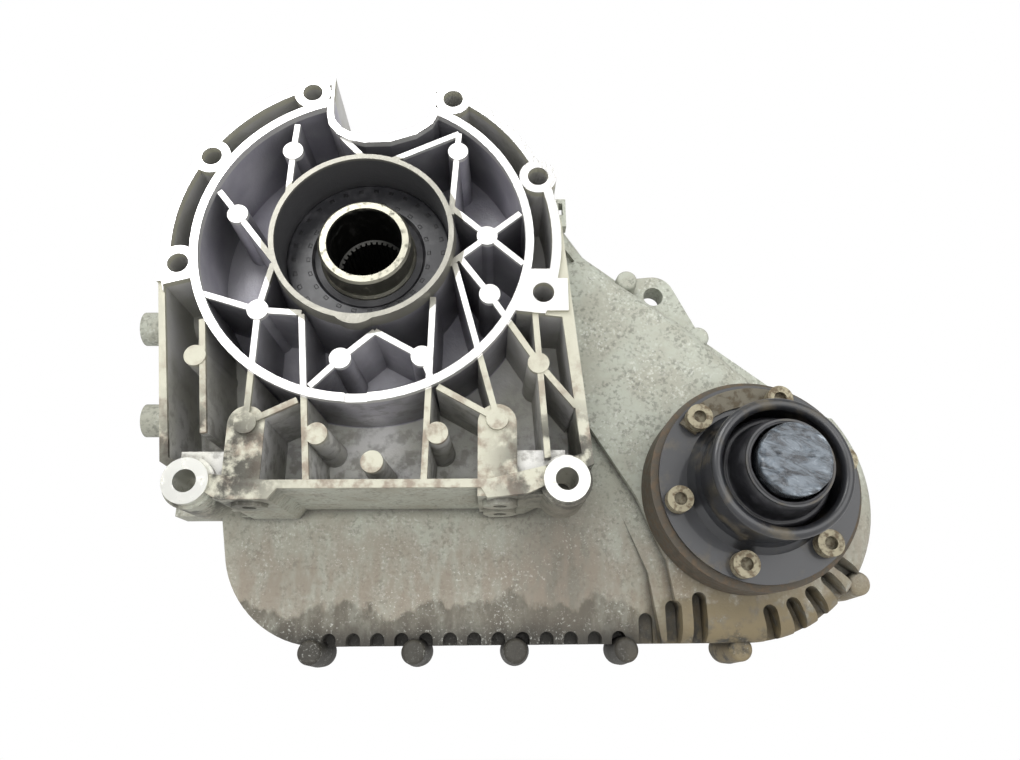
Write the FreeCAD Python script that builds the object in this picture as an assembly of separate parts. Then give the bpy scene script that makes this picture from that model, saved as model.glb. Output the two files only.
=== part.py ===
import FreeCAD, Part
import math
import os

V = FreeCAD.Vector
AXIS = V(0, 1, 0)
os.makedirs("parts", exist_ok=True)

# Frame: origin on the input axis at the mating face, X towards the front
# output, Y towards the rear along the shafts, Z up. Lengths in millimetres.

# Fits
SEAT = 0.02              # radial play of a fixed seat
RUN = 0.05               # radial play of a running fit
SWEEP = 0.2              # play of the ball tracks

# Shaft centres
INPUT = (0.0, 0.0)
OFFSET_X = 201.4
OFFSET_Z = -124.9
OUTPUT = (OFFSET_X, OFFSET_Z)
CENTRE_DISTANCE = math.hypot(OFFSET_X, OFFSET_Z)

# Mating flange of the adapter
RING_IN = 85.0
RING_OUT = 89.3
ARC_IN = 98.9            # arc pockets end here
ARC_OUT = 103.7
HOLE_R = 5.5
BOSS_R = 10.0
FLANGE_HOLES = [         # pitch radius, angle from +X towards +Z
    (97.2, 149.4),
    (95.0, 188.8),
    (96.6, 109.6),
    (98.4, 62.3),
    (99.4, 22.0),
    (98.7, -18.5),
]
RIB_Y = 2.0              # rib crests stand back from the machined face
FLOOR_Y = 48.0
RIB_TOP = 3.0
RIB_FOOT = 5.2
PAD_R = 5.4
NOTCH_WALL = 4.5

# Skirt below the flange
SKIRT_WALL = 3.8
SKIRT_BOTTOM = -131.0
SLEEVE_X = 89.6          # half the spacing of the lower sleeves
SLEEVE_MID = 13.1
SLEEVE_Z = -127.6
SLEEVE_R = 11.0
SLEEVE_BORE = 5.5
SLEEVE_BOSS = 12.6
SLEEVE_LENGTH = 40.0

# Input bearing pocket
POCKET_FRONT = -4.7
POCKET_LIP = 47.7
POCKET_FOOT = 53.0
BEARING_A = (27.5, 45.0, 18.0)      # bore radius, outer radius, width
BEARING_A_Y = 31.0
SEAL_A_Y = 20.8
SEAL_A_W = 7.2
SEAL_JOURNAL = 26.0
CIRCLIP = 2.0
RIM_BUMP = (36.3, 268, 14.0)        # drain bulge of the pocket rim: radius, angle, own radius

# Chain case
FACE_Y = 60.0
SPLIT_Y = 95.0
COVER_Y = 129.0
WALL = 5.0
CASE_R1 = 104.0
CASE_R2 = 77.0
SUMP = (-24.0, -148.0)
SUMP_R = 54.0
NOSE = 12.0
NOSE_STEPS = 5
SUMP_SET = 6.0           # the sump face stands back from the output face
BELLY_TOP = -136.0       # the sump face leans back below this height
BELLY_SLOPE = 12.0
BANK = 11.0
SUMP_FLOOR_Y = 84.0      # inner face of the front wall at the sump
FIN_START = -24.0
FIN_PITCH = 12.9
FIN_GAP = 7.6
FIN_TOP = -199.0
FIN_COUNT = 13
TALL_SLOTS = [(145.4, -190.0, 20.0), (158.4, -184.0, 17.0), (171.6, -180.0, 15.0)]
OUTPUT_SLOTS = (-80, -68, -57, -46, -36)
SPLIT_BOSS_R = 8.0
SPLIT_BOSS_NOSE = 6.2
SPLIT_BOSS_Y = 70.0
SPLIT_LIP = 8.0          # flange of the front half at the split
WAIST = [                # upper edge of the case body between the shafts
    (60.0, 106.0), (97.0, 63.0), (112.0, 41.8), (123.0, 24.7), (141.0, 8.5),
    (182.4, -21.8), (195.2, -34.6), (219.2, -57.6), (262.0, -79.0),
]
UPPER_BOLTS = [(191.0, -27.5), (150.0, 10.0)]
EAR = (169.0, 6.2, 13.6)
EAR_HOLE = 6.2
EAR_T = 8.0
BOLT_R = 4.0
HEAD_R = 6.5
DOWEL_R = 6.0            # hollow dowels round two of the bolts
DOWEL_L = 12.0
BOLT_OUT = 3.0           # bolt line outside the case wall
FLANGE_T = 10.0          # cover flange behind the split
COVER_STEP = 5.0         # the cover wall stands in from its flange

# Chain drive
LINKS = 85
TEETH = 35
PITCH = 2 * CENTRE_DISTANCE / (LINKS - TEETH)
PITCH_R = PITCH * TEETH / (2 * math.pi)
CHAIN_Y = 92.0
CHAIN_W = 26.0
CHAIN_BACK = 3.4
CHAIN_BELLY = 1.8
CHAIN_TOE = 6.0

# Centre differential
MODULE = 2.0
SUN_TEETH = 38
PLANET_TEETH = 14
RING_TEETH = SUN_TEETH + 2 * PLANET_TEETH
PLANETS = 4
GEAR_Y = 127.0
GEAR_W = 20.0
SUN_R = MODULE * SUN_TEETH / 2
PLANET_R = MODULE * PLANET_TEETH / 2
RING_R = MODULE * RING_TEETH / 2
ORBIT_R = SUN_R + PLANET_R
PIN_R = 4.0
RING_WALL = 9.0
DRUM_GAP = 4.0            # ring gear to housing
HOUSING_R = RING_R + RING_WALL + DRUM_GAP + WALL

# Shafts
INPUT_TIP = 4.0
INPUT_R = 24.6
INPUT_BORE = 20.0
SPLINE_Y = 40.0
SPLINE_L = 35.0
SPLINE_MINOR = 17.8
SPLINE_MAJOR = 19.0
SPLINE_TEETH = 37
BUSH = 4.0

# Output bearings and seals
BEARING_B = (20.0, 40.0, 18.0)
BEARING_C = (17.5, 36.0, 17.0)
FRONT_BEARING_Y = 70.0
TAIL_BEARING_Y = 120.0
REAR_BEARING_Y = 165.0
HUB_R = 24.0
SEAL_W = 8.0
SEAL_B = 36.0
SEAL_C = 34.0
HOUSING_Y = 165.0

# Front output joint
PCD = 86.0
JOINT_BOLTS = 6
JOINT_TURN = 132.9
RACE_R = 53.7
RACE_Y = 27.6
RACE_W = 19.4
COMPANION_W = 8.2
REGISTER = 2.5
CAN_T = 2.2
CAN_FLANGE = 50.5
CAN_R = 31.6
LIP_R = 33.25
LIP_Y = -13.0
BEAD = 2.8
BALL_R = 6.5
BALL_ORBIT = 28.0
BALLS = 6
JOINT_Y = 36.0
STUB_R = 13.0
WRAP_R = 16.8
WRAP_Y = -30.2
BOOT_NECK = 19.2
BOOT_ROLL = 22.0
CLAMP_Y = -21.0
CLAMP_W = 4.0
INNER_HALF = 8.0         # half width of the inner race
RELIEF = 1.6             # room for the bent joint behind the race
RELIEF_R = 32.0
NUT_SET = 1.2

SPROCKET_BORE = 22.0
NUT_R = 19.5
PLATE_T = 2.0

# Plugs, magnet and breather
FILL_PLUG = (118.0, -55.0)
DRAIN_PLUG = (60.0, -178.0)
PLUG_R = 9.0
PLUG_BOSS = 3.0
MAGNET = (-20.0, -165.0)
BREATHER_Y = 140.0

# Rear output flange
REAR_FLANGE_R = 52.0
REAR_FLANGE_Y = 196.0
REAR_FLANGE_W = 10.0

NODES = {}


def add(name, shape):
    """Keep a finished node under its name."""
    NODES[name] = shape


def at(radius, degrees, centre=INPUT):
    """Point in the XZ plane at an angle from +X towards +Z."""
    a = math.radians(degrees)
    return centre[0] + radius * math.cos(a), centre[1] + radius * math.sin(a)


def rod(centre, y0, y1, radius):
    """Cylinder along the shafts."""
    return Part.makeCylinder(radius, y1 - y0, V(centre[0], y0, centre[1]), AXIS)


def tube(centre, y0, y1, outer, inner):
    """Hollow cylinder along the shafts."""
    return rod(centre, y0, y1, outer).cut(rod(centre, y0, y1, inner))


def turned(centre, profile):
    """Solid of revolution from (radius, y) points."""
    points = [V(centre[0] + r, y, centre[1]) for r, y in profile]
    face = Part.Face(Part.makePolygon(points + points[:1]))
    return face.revolve(V(centre[0], 0, centre[1]), AXIS, 360)


def prism(points, y0, y1):
    """Straight prism from (x, z) points."""
    loop = [V(x, y0, z) for x, z in points]
    face = Part.Face(Part.makePolygon(loop + loop[:1]))
    return face.extrude(V(0, y1 - y0, 0))


def block(x0, x1, y0, y1, z0, z1):
    """Box between two corners."""
    return Part.makeBox(x1 - x0, y1 - y0, z1 - z0, V(x0, y0, z0))


def weld(body, parts):
    """Fuse parts to a body one after the other."""
    for part in parts:
        body = body.fuse(part)
    return body


def hull(circles, grow, y0, y1):
    """Prism round circles (x, z, radius), listed counter-clockwise."""
    edges = []
    count = len(circles)
    tangents = []
    for i in range(count):
        x0, z0, r0 = circles[i]
        x1, z1, r1 = circles[(i + 1) % count]
        dist = math.hypot(x1 - x0, z1 - z0)
        turn = math.atan2(z1 - z0, x1 - x0) - math.acos((r0 - r1) / dist)
        tangents.append(turn)
    for i in range(count):
        x, z, r = circles[i]
        r += grow
        first = tangents[i - 1]
        last = tangents[i]
        while last < first:
            last += 2 * math.pi
        mid = (first + last) / 2
        p = [V(x + r * math.cos(a), y0, z + r * math.sin(a)) for a in (first, mid, last)]
        edges.append(Part.Arc(*p).toShape())
        nx, nz, nr = circles[(i + 1) % count]
        nr += grow
        q = V(nx + nr * math.cos(last), y0, nz + nr * math.sin(last))
        edges.append(Part.makeLine(p[2], q))
    return Part.Face(Part.Wire(edges)).extrude(V(0, y1 - y0, 0))


def toothed(centre, count, root, tip, foot, crest, phase, y0, y1):
    """Prism with straight-flanked teeth; foot and crest are half widths."""
    points = []
    for i in range(count):
        mid = phase + i * 360.0 / count
        wide = math.degrees(foot / root)
        slim = math.degrees(crest / tip)
        points.append(at(root, mid - wide, centre))
        points.append(at(tip, mid - slim, centre))
        points.append(at(tip, mid + slim, centre))
        points.append(at(root, mid + wide, centre))
    return prism(points, y0, y1)


def ball_solid(x, y, z, radius):
    """Ball with flat facets, which keeps the many balls light."""
    rows, columns = 6, 12
    rings = []
    for i in range(1, rows):
        lift = math.pi * i / rows - math.pi / 2
        turns = [2 * math.pi * j / columns for j in range(columns)]
        flat = radius * math.cos(lift)
        rings.append([V(x + flat * math.cos(t), y + radius * math.sin(lift), z + flat * math.sin(t)) for t in turns])
    low, high = V(x, y - radius, z), V(x, y + radius, z)
    loops = []
    for j in range(columns):
        k = (j + 1) % columns
        loops.append([low, rings[0][j], rings[0][k]])
        loops.append([high, rings[-1][k], rings[-1][j]])
        for a, b in zip(rings, rings[1:]):
            loops.append([a[j], b[j], b[k], a[k]])
    faces = [Part.Face(Part.makePolygon(loop + loop[:1])) for loop in loops]
    return Part.makeSolid(Part.makeShell(faces))


def bearing(prefix, centre, y0, size, balls):
    """Ball bearing as outer ring, inner ring and ball set."""
    bore, outer, width = size
    mid = (bore + outer) / 2
    ball = (outer - bore) * 0.27
    land = ball * 0.62
    y1 = y0 + width
    middle = y0 + width / 2
    half = math.acos(land / (ball + RUN))
    steps = [half * (i / 2.0 - 1) for i in range(5)]
    deep = (ball + RUN) / math.cos(half / 4)
    cup = [(outer - SEAT, y1), (outer - SEAT, y0), (mid + land, y0)]
    cup += [(mid + deep * math.cos(a), middle + deep * math.sin(a)) for a in steps]
    cone = [(bore + SEAT, y1), (bore + SEAT, y0), (mid - land, y0)]
    cone += [(mid - deep * math.cos(a), middle + deep * math.sin(a)) for a in steps]
    add(prefix + "_outer_ring", turned(centre, cup + [(mid + land, y1)]))
    add(prefix + "_inner_ring", turned(centre, cone + [(mid - land, y1)]))
    spots = [at(mid, i * 360.0 / balls, centre) for i in range(balls)]
    add(prefix + "_balls", Part.makeCompound([ball_solid(x, middle, z, ball) for x, z in spots]))


def lip_seal(name, centre, y0, width, outer, journal, front=1):
    """Radial lip seal with a recessed face towards the outside."""
    y1 = y0 + width
    body = turned(centre, [
        (outer - SEAT, y0 + 0.8), (outer - 1.2, y0), (journal + 5.0, y0),
        (journal + 3.4, y0 + 1.4), (journal + RUN, y0 + 0.8),
        (journal + RUN, y0 + 2.4), (journal + 2.6, y0 + 3.6),
        (journal + 2.6, y1), (outer - SEAT, y1),
    ])
    if front < 0:
        body = body.mirror(V(centre[0], (y0 + y1) / 2, centre[1]), AXIS)
    add(name, body)


def bolt(centre, seat, tip, towards=1, socket=3.2):
    """Round-headed bolt; towards is the way the shank runs along Y."""
    head = 6.8
    if towards > 0:
        body = rod(centre, seat - head, seat, HEAD_R)
        body = body.fuse(rod(centre, seat, tip, BOLT_R - SEAT))
        recess = rod(centre, seat - head - 1, seat - head + 3.0, socket)
    else:
        body = rod(centre, seat, seat + head, HEAD_R)
        body = body.fuse(rod(centre, tip, seat, BOLT_R - SEAT))
        recess = rod(centre, seat + head - 3.0, seat + head + 1, socket)
    return body.cut(recess)


CASE_CIRCLES = [
    (SUMP[0], SUMP[1], SUMP_R),
    (OUTPUT[0], OUTPUT[1], CASE_R2),
    (INPUT[0], INPUT[1], CASE_R1),
]


def case_edge(start, end, share, out=0.0):
    """Point on the straight side between two case circles, moved outwards."""
    x0, z0, r0 = CASE_CIRCLES[start]
    x1, z1, r1 = CASE_CIRCLES[end]
    dist = math.hypot(x1 - x0, z1 - z0)
    turn = math.atan2(z1 - z0, x1 - x0) - math.acos((r0 - r1) / dist)
    ax, az = x0 + (r0 + out) * math.cos(turn), z0 + (r0 + out) * math.sin(turn)
    bx, bz = x1 + (r1 + out) * math.cos(turn), z1 + (r1 + out) * math.sin(turn)
    return ax + (bx - ax) * share, az + (bz - az) * share


SPLIT_BOLTS = [
    at(SUMP_R + BOLT_OUT, 265, SUMP),
    at(CASE_R2 + BOLT_OUT, -36, OUTPUT),
    at(CASE_R1 + BOLT_OUT, 80),
    at(CASE_R1 + BOLT_OUT, 118),
    at(CASE_R1 + BOLT_OUT, 155),
]
SPLIT_BOLTS += [case_edge(0, 1, share, BOLT_OUT) for share in (0.219, 0.457, 0.717, 0.985)]
SPLIT_BOLTS += UPPER_BOLTS
SPLIT_BOLTS += [case_edge(2, 0, share, BOLT_OUT) for share in (0.12, 0.72)]
DOWELS = [SPLIT_BOLTS[0], UPPER_BOLTS[1]]

# Pads on the adapter ribs, and the ribs between named points.
PADS = [
    (-40.8, 54.1), (-66.8, 14.9), (-51.2, -40.0), (-8.1, -66.3), (32.3, -65.3),
    (64.8, 2.1), (48.9, 53.9), (66.1, -31.5), (-79.7, -64.6), (-51.7, -99.2),
    (-17.2, -104.7), (10.1, -118.6), (40.7, -104.6), (69.8, -97.7), (90.4, -69.0),
]
RIBS = [
    ((-39.8, 71.4), PADS[0]), (PADS[0], (-41.6, 27.0)),
    ((-78.0, 29.0), PADS[1]), (PADS[1], (-45.0, -13.0)),
    ((-81.0, -30.6), PADS[2]), (PADS[2], (-29.1, -41.6)),
    ((-45.9, -14.0), PADS[2]), (PADS[2], PADS[9]),
    ((-29.0, -42.4), (-20.6, SKIRT_BOTTOM + 4)),
    ((-22.3, -80.7), PADS[3]), (PADS[3], (8.4, -51.7)),
    ((8.4, -51.7), PADS[4]), (PADS[4], (37.4, -77.0)),
    ((37.2, -33.0), (34.9, SKIRT_BOTTOM + 4)),
    ((47.9, -14.0), PADS[13]),
    ((50.3, -10.0), PADS[7]), (PADS[7], PADS[14]), (PADS[14], (108.5, -91.5)),
    ((45.0, 20.0), (83.6, -14.0)), ((82.4, 15.8), (45.0, -14.5)),
    ((49.2, 65.8), (45.7, 15.0)), ((49.2, 65.8), (13.0, 48.6)),
    ((-15.0, 63.7), (-2.3, 50.0)),
    ((40.5, -81.0), PADS[13]), ((-27.7, -87.7), PADS[9]),
    ((89.0, -38.0), (93.9, -117.0)),
    ((-78.6, -45.0), (-71.2, -104.0)),
]
CORNER_POCKET = [(107.6, 31.0), (117.0, 17.5), (109.5, 12.5), (108.4, 12.5)]
NOTCH = [
    (-20.5, 110.0), (-20.5, 80.0), (-19.4, 73.6), (-15.0, 67.8), (-9.6, 64.8),
    (-1.7, 62.9), (11.3, 63.4), (24.2, 68.0), (31.9, 74.3), (35.4, 82.0), (35.4, 110.0),
]
LEFT_WALL = [(-103.5, -5.0), (-103.5, -22.0), (-90.0, -118.0)]
SIDE_BOSSES = [(-129.0, -30.0, 9.5), (-121.5, -84.0, 9.0)]
RIGHT_WALL = [(116.0, -120.0), (107.0, -22.0), (104.0, 12.0)]


def rib(start, end, y0=RIB_Y, top=RIB_TOP, foot=RIB_FOOT, y1=FLOOR_Y + 2):
    """Tapered rib from its crest at y0 down to the floor."""
    dx, dz = end[0] - start[0], end[1] - start[1]
    length = math.hypot(dx, dz)
    nx, nz = -dz / length, dx / length
    section = [(-top / 2, y0), (top / 2, y0), (foot / 2, y1), (-foot / 2, y1)]
    loop = [V(start[0] + nx * w, y, start[1] + nz * w) for w, y in section]
    face = Part.Face(Part.makePolygon(loop + loop[:1]))
    return face.extrude(V(dx, 0, dz))


def offset_points(points, amount):
    """Notch outline grown by the wall on its open sides."""
    middle = (7.0, 110.0)
    grown = []
    for x, z in points:
        dx, dz = x - middle[0], z - middle[1]
        size = math.hypot(dx, dz)
        grown.append((x + dx / size * amount, z + dz / size * amount))
    return grown


def sleeve_centres():
    """Centres of the two lower sleeves."""
    return [(SLEEVE_MID - SLEEVE_X, SLEEVE_Z), (SLEEVE_MID + SLEEVE_X, SLEEVE_Z)]


def adapter():
    """Bell housing half of the front casting, open to the front."""
    back = FACE_Y + 6
    holes = [at(r, a) for r, a in FLANGE_HOLES]
    left, right = sleeve_centres()
    skirt = LEFT_WALL + [(-62.0, -136.0), (-38.0, -136.0), (-34.0, SKIRT_BOTTOM)]
    skirt += [(62.0, SKIRT_BOTTOM), (65.0, -136.0), (84.0, -134.0)] + RIGHT_WALL
    outer = rod(INPUT, 0, back, ARC_OUT)
    outer = outer.multiFuse([prism(skirt, RIB_Y, back)] + [rod(h, 0, back, BOSS_R) for h in holes])
    b, f = holes[1], holes[5]
    outer = outer.fuse(block(b[0] - 9.8, b[0] + 7.6, 0, back, b[1] - BOSS_R, b[1] + 8))
    outer = outer.fuse(block(f[0] - 7.4, f[0] + 12.6, 0, back, f[1] - BOSS_R, f[1] + 8))
    # open cells: inside the ring, the arc pockets and the skirt
    inside = rod(INPUT, -1, FLOOR_Y, RING_IN)
    arcs = tube(INPUT, -1, FLOOR_Y, ARC_IN, RING_OUT)
    arcs = arcs.cut(block(-120, 120, -2, FLOOR_Y + 1, -120, -18))
    arcs = arcs.cut(block(-22, 36, -2, FLOOR_Y + 1, 0, 120))
    inset = SKIRT_WALL
    cells = [(-103.5 + inset, -26.5), (-90.0 + inset, -116.0), (-66.0, -124.0)]
    cells += [(-40.0, SKIRT_BOTTOM + 4), (66.0, SKIRT_BOTTOM + 4), (92.0, -121.0)]
    cells += [(110.2, -115.0), (103.0, -44.0), (80.0, -41.4), (0, 0)]
    lower = prism(cells, -1, FLOOR_Y).cut(rod(INPUT, -2, FLOOR_Y + 1, RING_OUT))
    keep = [rod(h, -2, FLOOR_Y + 1, BOSS_R) for h in holes]
    keep.append(block(b[0] - 12, b[0] + 7.6, -2, FLOOR_Y + 1, b[1] - BOSS_R, b[1] + 8))
    keep.append(block(f[0] - 7.4, f[0] + 15, -2, FLOOR_Y + 1, f[1] - BOSS_R, f[1] + 8))
    arcs = arcs.cut(keep[0].multiFuse(keep[1:]))
    body = outer.cut(inside.multiFuse([arcs, lower]))
    # ribs, pads and posts standing on the floor
    parts = [rib(a, c) for a, c in RIBS]
    parts += [Part.makeCone(PAD_R, PAD_R + 1.4, FLOOR_Y, V(x, RIB_Y - 0.6, z), AXIS) for x, z in PADS]
    pocket = turned(INPUT, [
        (POCKET_LIP, POCKET_FRONT), (POCKET_FOOT, FLOOR_Y + 2),
        (BEARING_A[1] - 2, FLOOR_Y + 2), (BEARING_A[1] - 2, POCKET_FRONT),
    ])
    parts.append(pocket)
    parts.append(rod(at(RIM_BUMP[0], RIM_BUMP[1]), POCKET_FRONT, FLOOR_Y, RIM_BUMP[2]))
    for x, half in ((PADS[9][0], 9.0), (PADS[13][0], 9.5)):
        z = PADS[9][1]
        parts.append(block(x - half, x + half, RIB_Y + 1.5, FLOOR_Y + 2, SKIRT_BOTTOM - 4, z))
        parts.append(rod((x, z), RIB_Y + 1.5, FLOOR_Y + 2, half))
    for centre in (left, right):
        parts.append(rod(centre, 5.0, SLEEVE_LENGTH, SLEEVE_BOSS))
    parts.append(block(left[0] - 6, -52, 8, FLOOR_Y, SLEEVE_Z - 7, -112))
    parts.append(block(78, right[0], 8, FLOOR_Y, SLEEVE_Z - 6, -112))
    body = weld(body, parts)
    # U notch with its own wall
    wall = prism(offset_points(NOTCH, NOTCH_WALL), 0, back).common(rod(INPUT, 0, back, RING_OUT))
    wall = wall.cut(rod(INPUT, -1, back + 1, POCKET_LIP))
    body = body.fuse(wall)
    body = body.cut(prism(NOTCH, -1, FACE_Y - 2))
    return body


def sump_step():
    """Part of the front wall that stands back towards the sump."""
    crease = [(106.0, -52.0), (121.0, -85.0), (146.0, -126.0), (160.0, -160.0), (168.0, -215.0)]
    corner = [(-120.0, -215.0), (-120.0, -52.0)]
    step = prism(crease + corner, FACE_Y - 1, FACE_Y + SUMP_SET)
    low = FACE_Y + SUMP_SET
    side = [(low - 1, BELLY_TOP + 6), (low, BELLY_TOP), (low + BELLY_SLOPE, -212.0), (low - 1, -212.0)]
    face = Part.Face(Part.makePolygon([V(-120, y, z) for y, z in side + side[:1]]))
    bank = [(x - BANK * 0.86, z - BANK * 0.5) for x, z in crease]
    belly = face.extrude(V(400, 0, 0)).common(prism(bank + corner, FACE_Y - 2, SPLIT_Y))
    return step.fuse(belly)


def waist(grow, y0, y1, nose=0.0):
    """Space outside the upper edge of the case body, rounded at y0."""
    turn = 1 if y1 > y0 else -1
    levels = []
    for i in range(NOSE_STEPS + 1 if nose else 1):
        t = math.pi / 2 * i / NOSE_STEPS
        levels.append((grow - nose * (1 - math.sin(t)), y0 + turn * nose * (1 - math.cos(t))))
    levels[-1] = (grow, levels[-1][1])
    levels.append((grow, y1))
    wires = []
    for out, y in levels:
        edge = [(x + out * 0.53, z + out * 0.85) for x, z in WAIST]
        loop = edge + [(310.0, -79.0), (310.0, 160.0), (60.0, 160.0)]
        wires.append(Part.makePolygon([V(x, y, z) for x, z in loop + loop[:1]]))
    return Part.makeLoft(wires, True, True)


def ear(y0, y1):
    """Lifting ear between the two upper split bolts."""
    (x0, z0), (x1, z1) = UPPER_BOLTS
    return hull([(x1, z1, SPLIT_BOSS_R), (x0, z0, SPLIT_BOSS_R), EAR], 0, y0, y1)


def fin_slots():
    """Pockets between the fins along the bottom and round the output."""
    slots = []
    for i in range(FIN_COUNT):
        x = FIN_START + i * FIN_PITCH
        slots.append(block(x, x + FIN_GAP, FACE_Y, SPLIT_Y - SPLIT_LIP, -212, FIN_TOP))
        slots.append(rod((x + FIN_GAP / 2, FIN_TOP), FACE_Y, SPLIT_Y - SPLIT_LIP, FIN_GAP / 2))
    for x, top, depth in TALL_SLOTS:
        slots.append(block(x, x + FIN_GAP, FACE_Y, FACE_Y + depth, -214, top))
        slots.append(rod((x + FIN_GAP / 2, top), FACE_Y, FACE_Y + depth, FIN_GAP / 2))
    for angle in OUTPUT_SLOTS:
        x, z = at(RACE_R + 9, angle, OUTPUT)
        slot = block(x - FIN_GAP / 2, x + FIN_GAP / 2, FACE_Y, FACE_Y + 15, z - 24, z)
        slot = slot.fuse(rod((x, z), FACE_Y, FACE_Y + 15, FIN_GAP / 2))
        slot.rotate(V(x, 0, z), V(0, 1, 0), -(angle + 90))
        slots.append(slot)
    return slots


def front_case():
    """Adapter and front half of the chain case, one casting."""
    shell = hull(CASE_CIRCLES, 0, FACE_Y, SPLIT_Y)
    rims = [e for e in shell.Edges if abs(e.BoundBox.YMin - FACE_Y) < 0.01 and e.BoundBox.YLength < 0.01]
    shell = shell.makeFillet(NOSE, rims).cut(waist(0.0, FACE_Y, SPLIT_Y, NOSE))
    shell = shell.cut(sump_step())
    slots = fin_slots()
    shell = shell.cut(slots[0].multiFuse(slots[1:]))
    parts = [shell, hull(CASE_CIRCLES, 0, SPLIT_Y - SPLIT_LIP, SPLIT_Y)]
    for x, z in SPLIT_BOLTS:
        nose = Part.makeCone(SPLIT_BOSS_NOSE, SPLIT_BOSS_R, SPLIT_Y - SPLIT_BOSS_Y, V(x, SPLIT_BOSS_Y, z), AXIS)
        tips = [e for e in nose.Edges if e.BoundBox.YMax < SPLIT_BOSS_Y + 0.1]
        parts.append(nose.makeFillet(SPLIT_BOSS_NOSE - BOLT_R, tips))
    parts.append(ear(SPLIT_Y - EAR_T, SPLIT_Y))
    for x, z, r in SIDE_BOSSES:
        parts.append(Part.makeCylinder(r, -x - 92, V(x, 52, z), V(1, 0, 0)))
    parts.append(block(-103, -52, FACE_Y, FACE_Y + 18, -135, -112))
    parts.append(block(RING_OUT, 112.5, FACE_Y - 2, FACE_Y + 6, 40, 59))
    for x, y in ((-50, 16), (71, 16), (71, 40)):
        parts.append(Part.makeCylinder(8.5, 8, V(x, y, SKIRT_BOTTOM - 7), V(0, 0, 1)))
    parts.append(rod(OUTPUT, FACE_Y - 2.5, FACE_Y + 4, SEAL_B + 5))
    body = weld(adapter(), parts)
    # chain cavity
    cavity = hull(CASE_CIRCLES, -WALL, FACE_Y + 6 + SUMP_SET, SPLIT_Y + 1)
    cavity = cavity.fuse(rod(INPUT, FLOOR_Y + 8, SPLIT_Y, CASE_R1 - 24))
    cavity = cavity.cut(block(-90, 290, FACE_Y, SPLIT_Y - 5, -214, -192))
    cavity = cavity.cut(block(-90, 290, FACE_Y, SUMP_FLOOR_Y, -214, BELLY_TOP))
    cavity = cavity.cut(waist(-WALL, FACE_Y, SPLIT_Y + 2))
    cavity = cavity.cut(rod(OUTPUT, FACE_Y, FRONT_BEARING_Y + BEARING_B[2] + 1.5, BEARING_B[1] + 7))
    body = body.cut(cavity)
    # bores
    cuts = [rod(INPUT, POCKET_FRONT - 1, BEARING_A_Y + BEARING_A[2], BEARING_A[1])]
    cuts.append(rod(INPUT, 0, FLOOR_Y + 20, BEARING_A[1] - 5))
    cuts.append(tube(INPUT, BEARING_A_Y - CIRCLIP - 0.2, BEARING_A_Y - 0.1, BEARING_A[1] + 1.5, 40))
    cuts.append(rod(OUTPUT, FACE_Y - 5, FRONT_BEARING_Y, SEAL_B))
    cuts.append(rod(OUTPUT, FRONT_BEARING_Y - 0.5, SPLIT_Y, BEARING_B[1]))
    cuts += [rod(at(r, a), -1, FACE_Y, HOLE_R) for r, a in FLANGE_HOLES]
    cuts.append(rod(EAR[:2], SPLIT_Y - EAR_T - 1, SPLIT_Y + 1, EAR_HOLE))
    cuts.append(prism(CORNER_POCKET, FACE_Y - 1, FACE_Y + 5))
    cuts += [rod(c, -1, SLEEVE_LENGTH + 26, SLEEVE_R + SEAT) for c in sleeve_centres()]
    cuts += [rod(c, SPLIT_BOSS_Y + 3, SPLIT_Y + 1, BOLT_R) for c in SPLIT_BOLTS]
    cuts += [rod(c, SPLIT_Y - DOWEL_L / 2, SPLIT_Y + 1, DOWEL_R) for c in DOWELS]
    cuts.append(block(-4.5, 6.6, -1, 1.4, -92, -80))
    cuts.append(block(108, 110.6, FACE_Y - 5, FACE_Y + 8, 48, 56))
    for x, y in ((-50, 16), (71, 16), (71, 40)):
        cuts.append(Part.makeCylinder(3.4, 14, V(x, y, SKIRT_BOTTOM - 8), V(0, 0, 1)))
    return body.cut(cuts[0].multiFuse(cuts[1:]))


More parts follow.
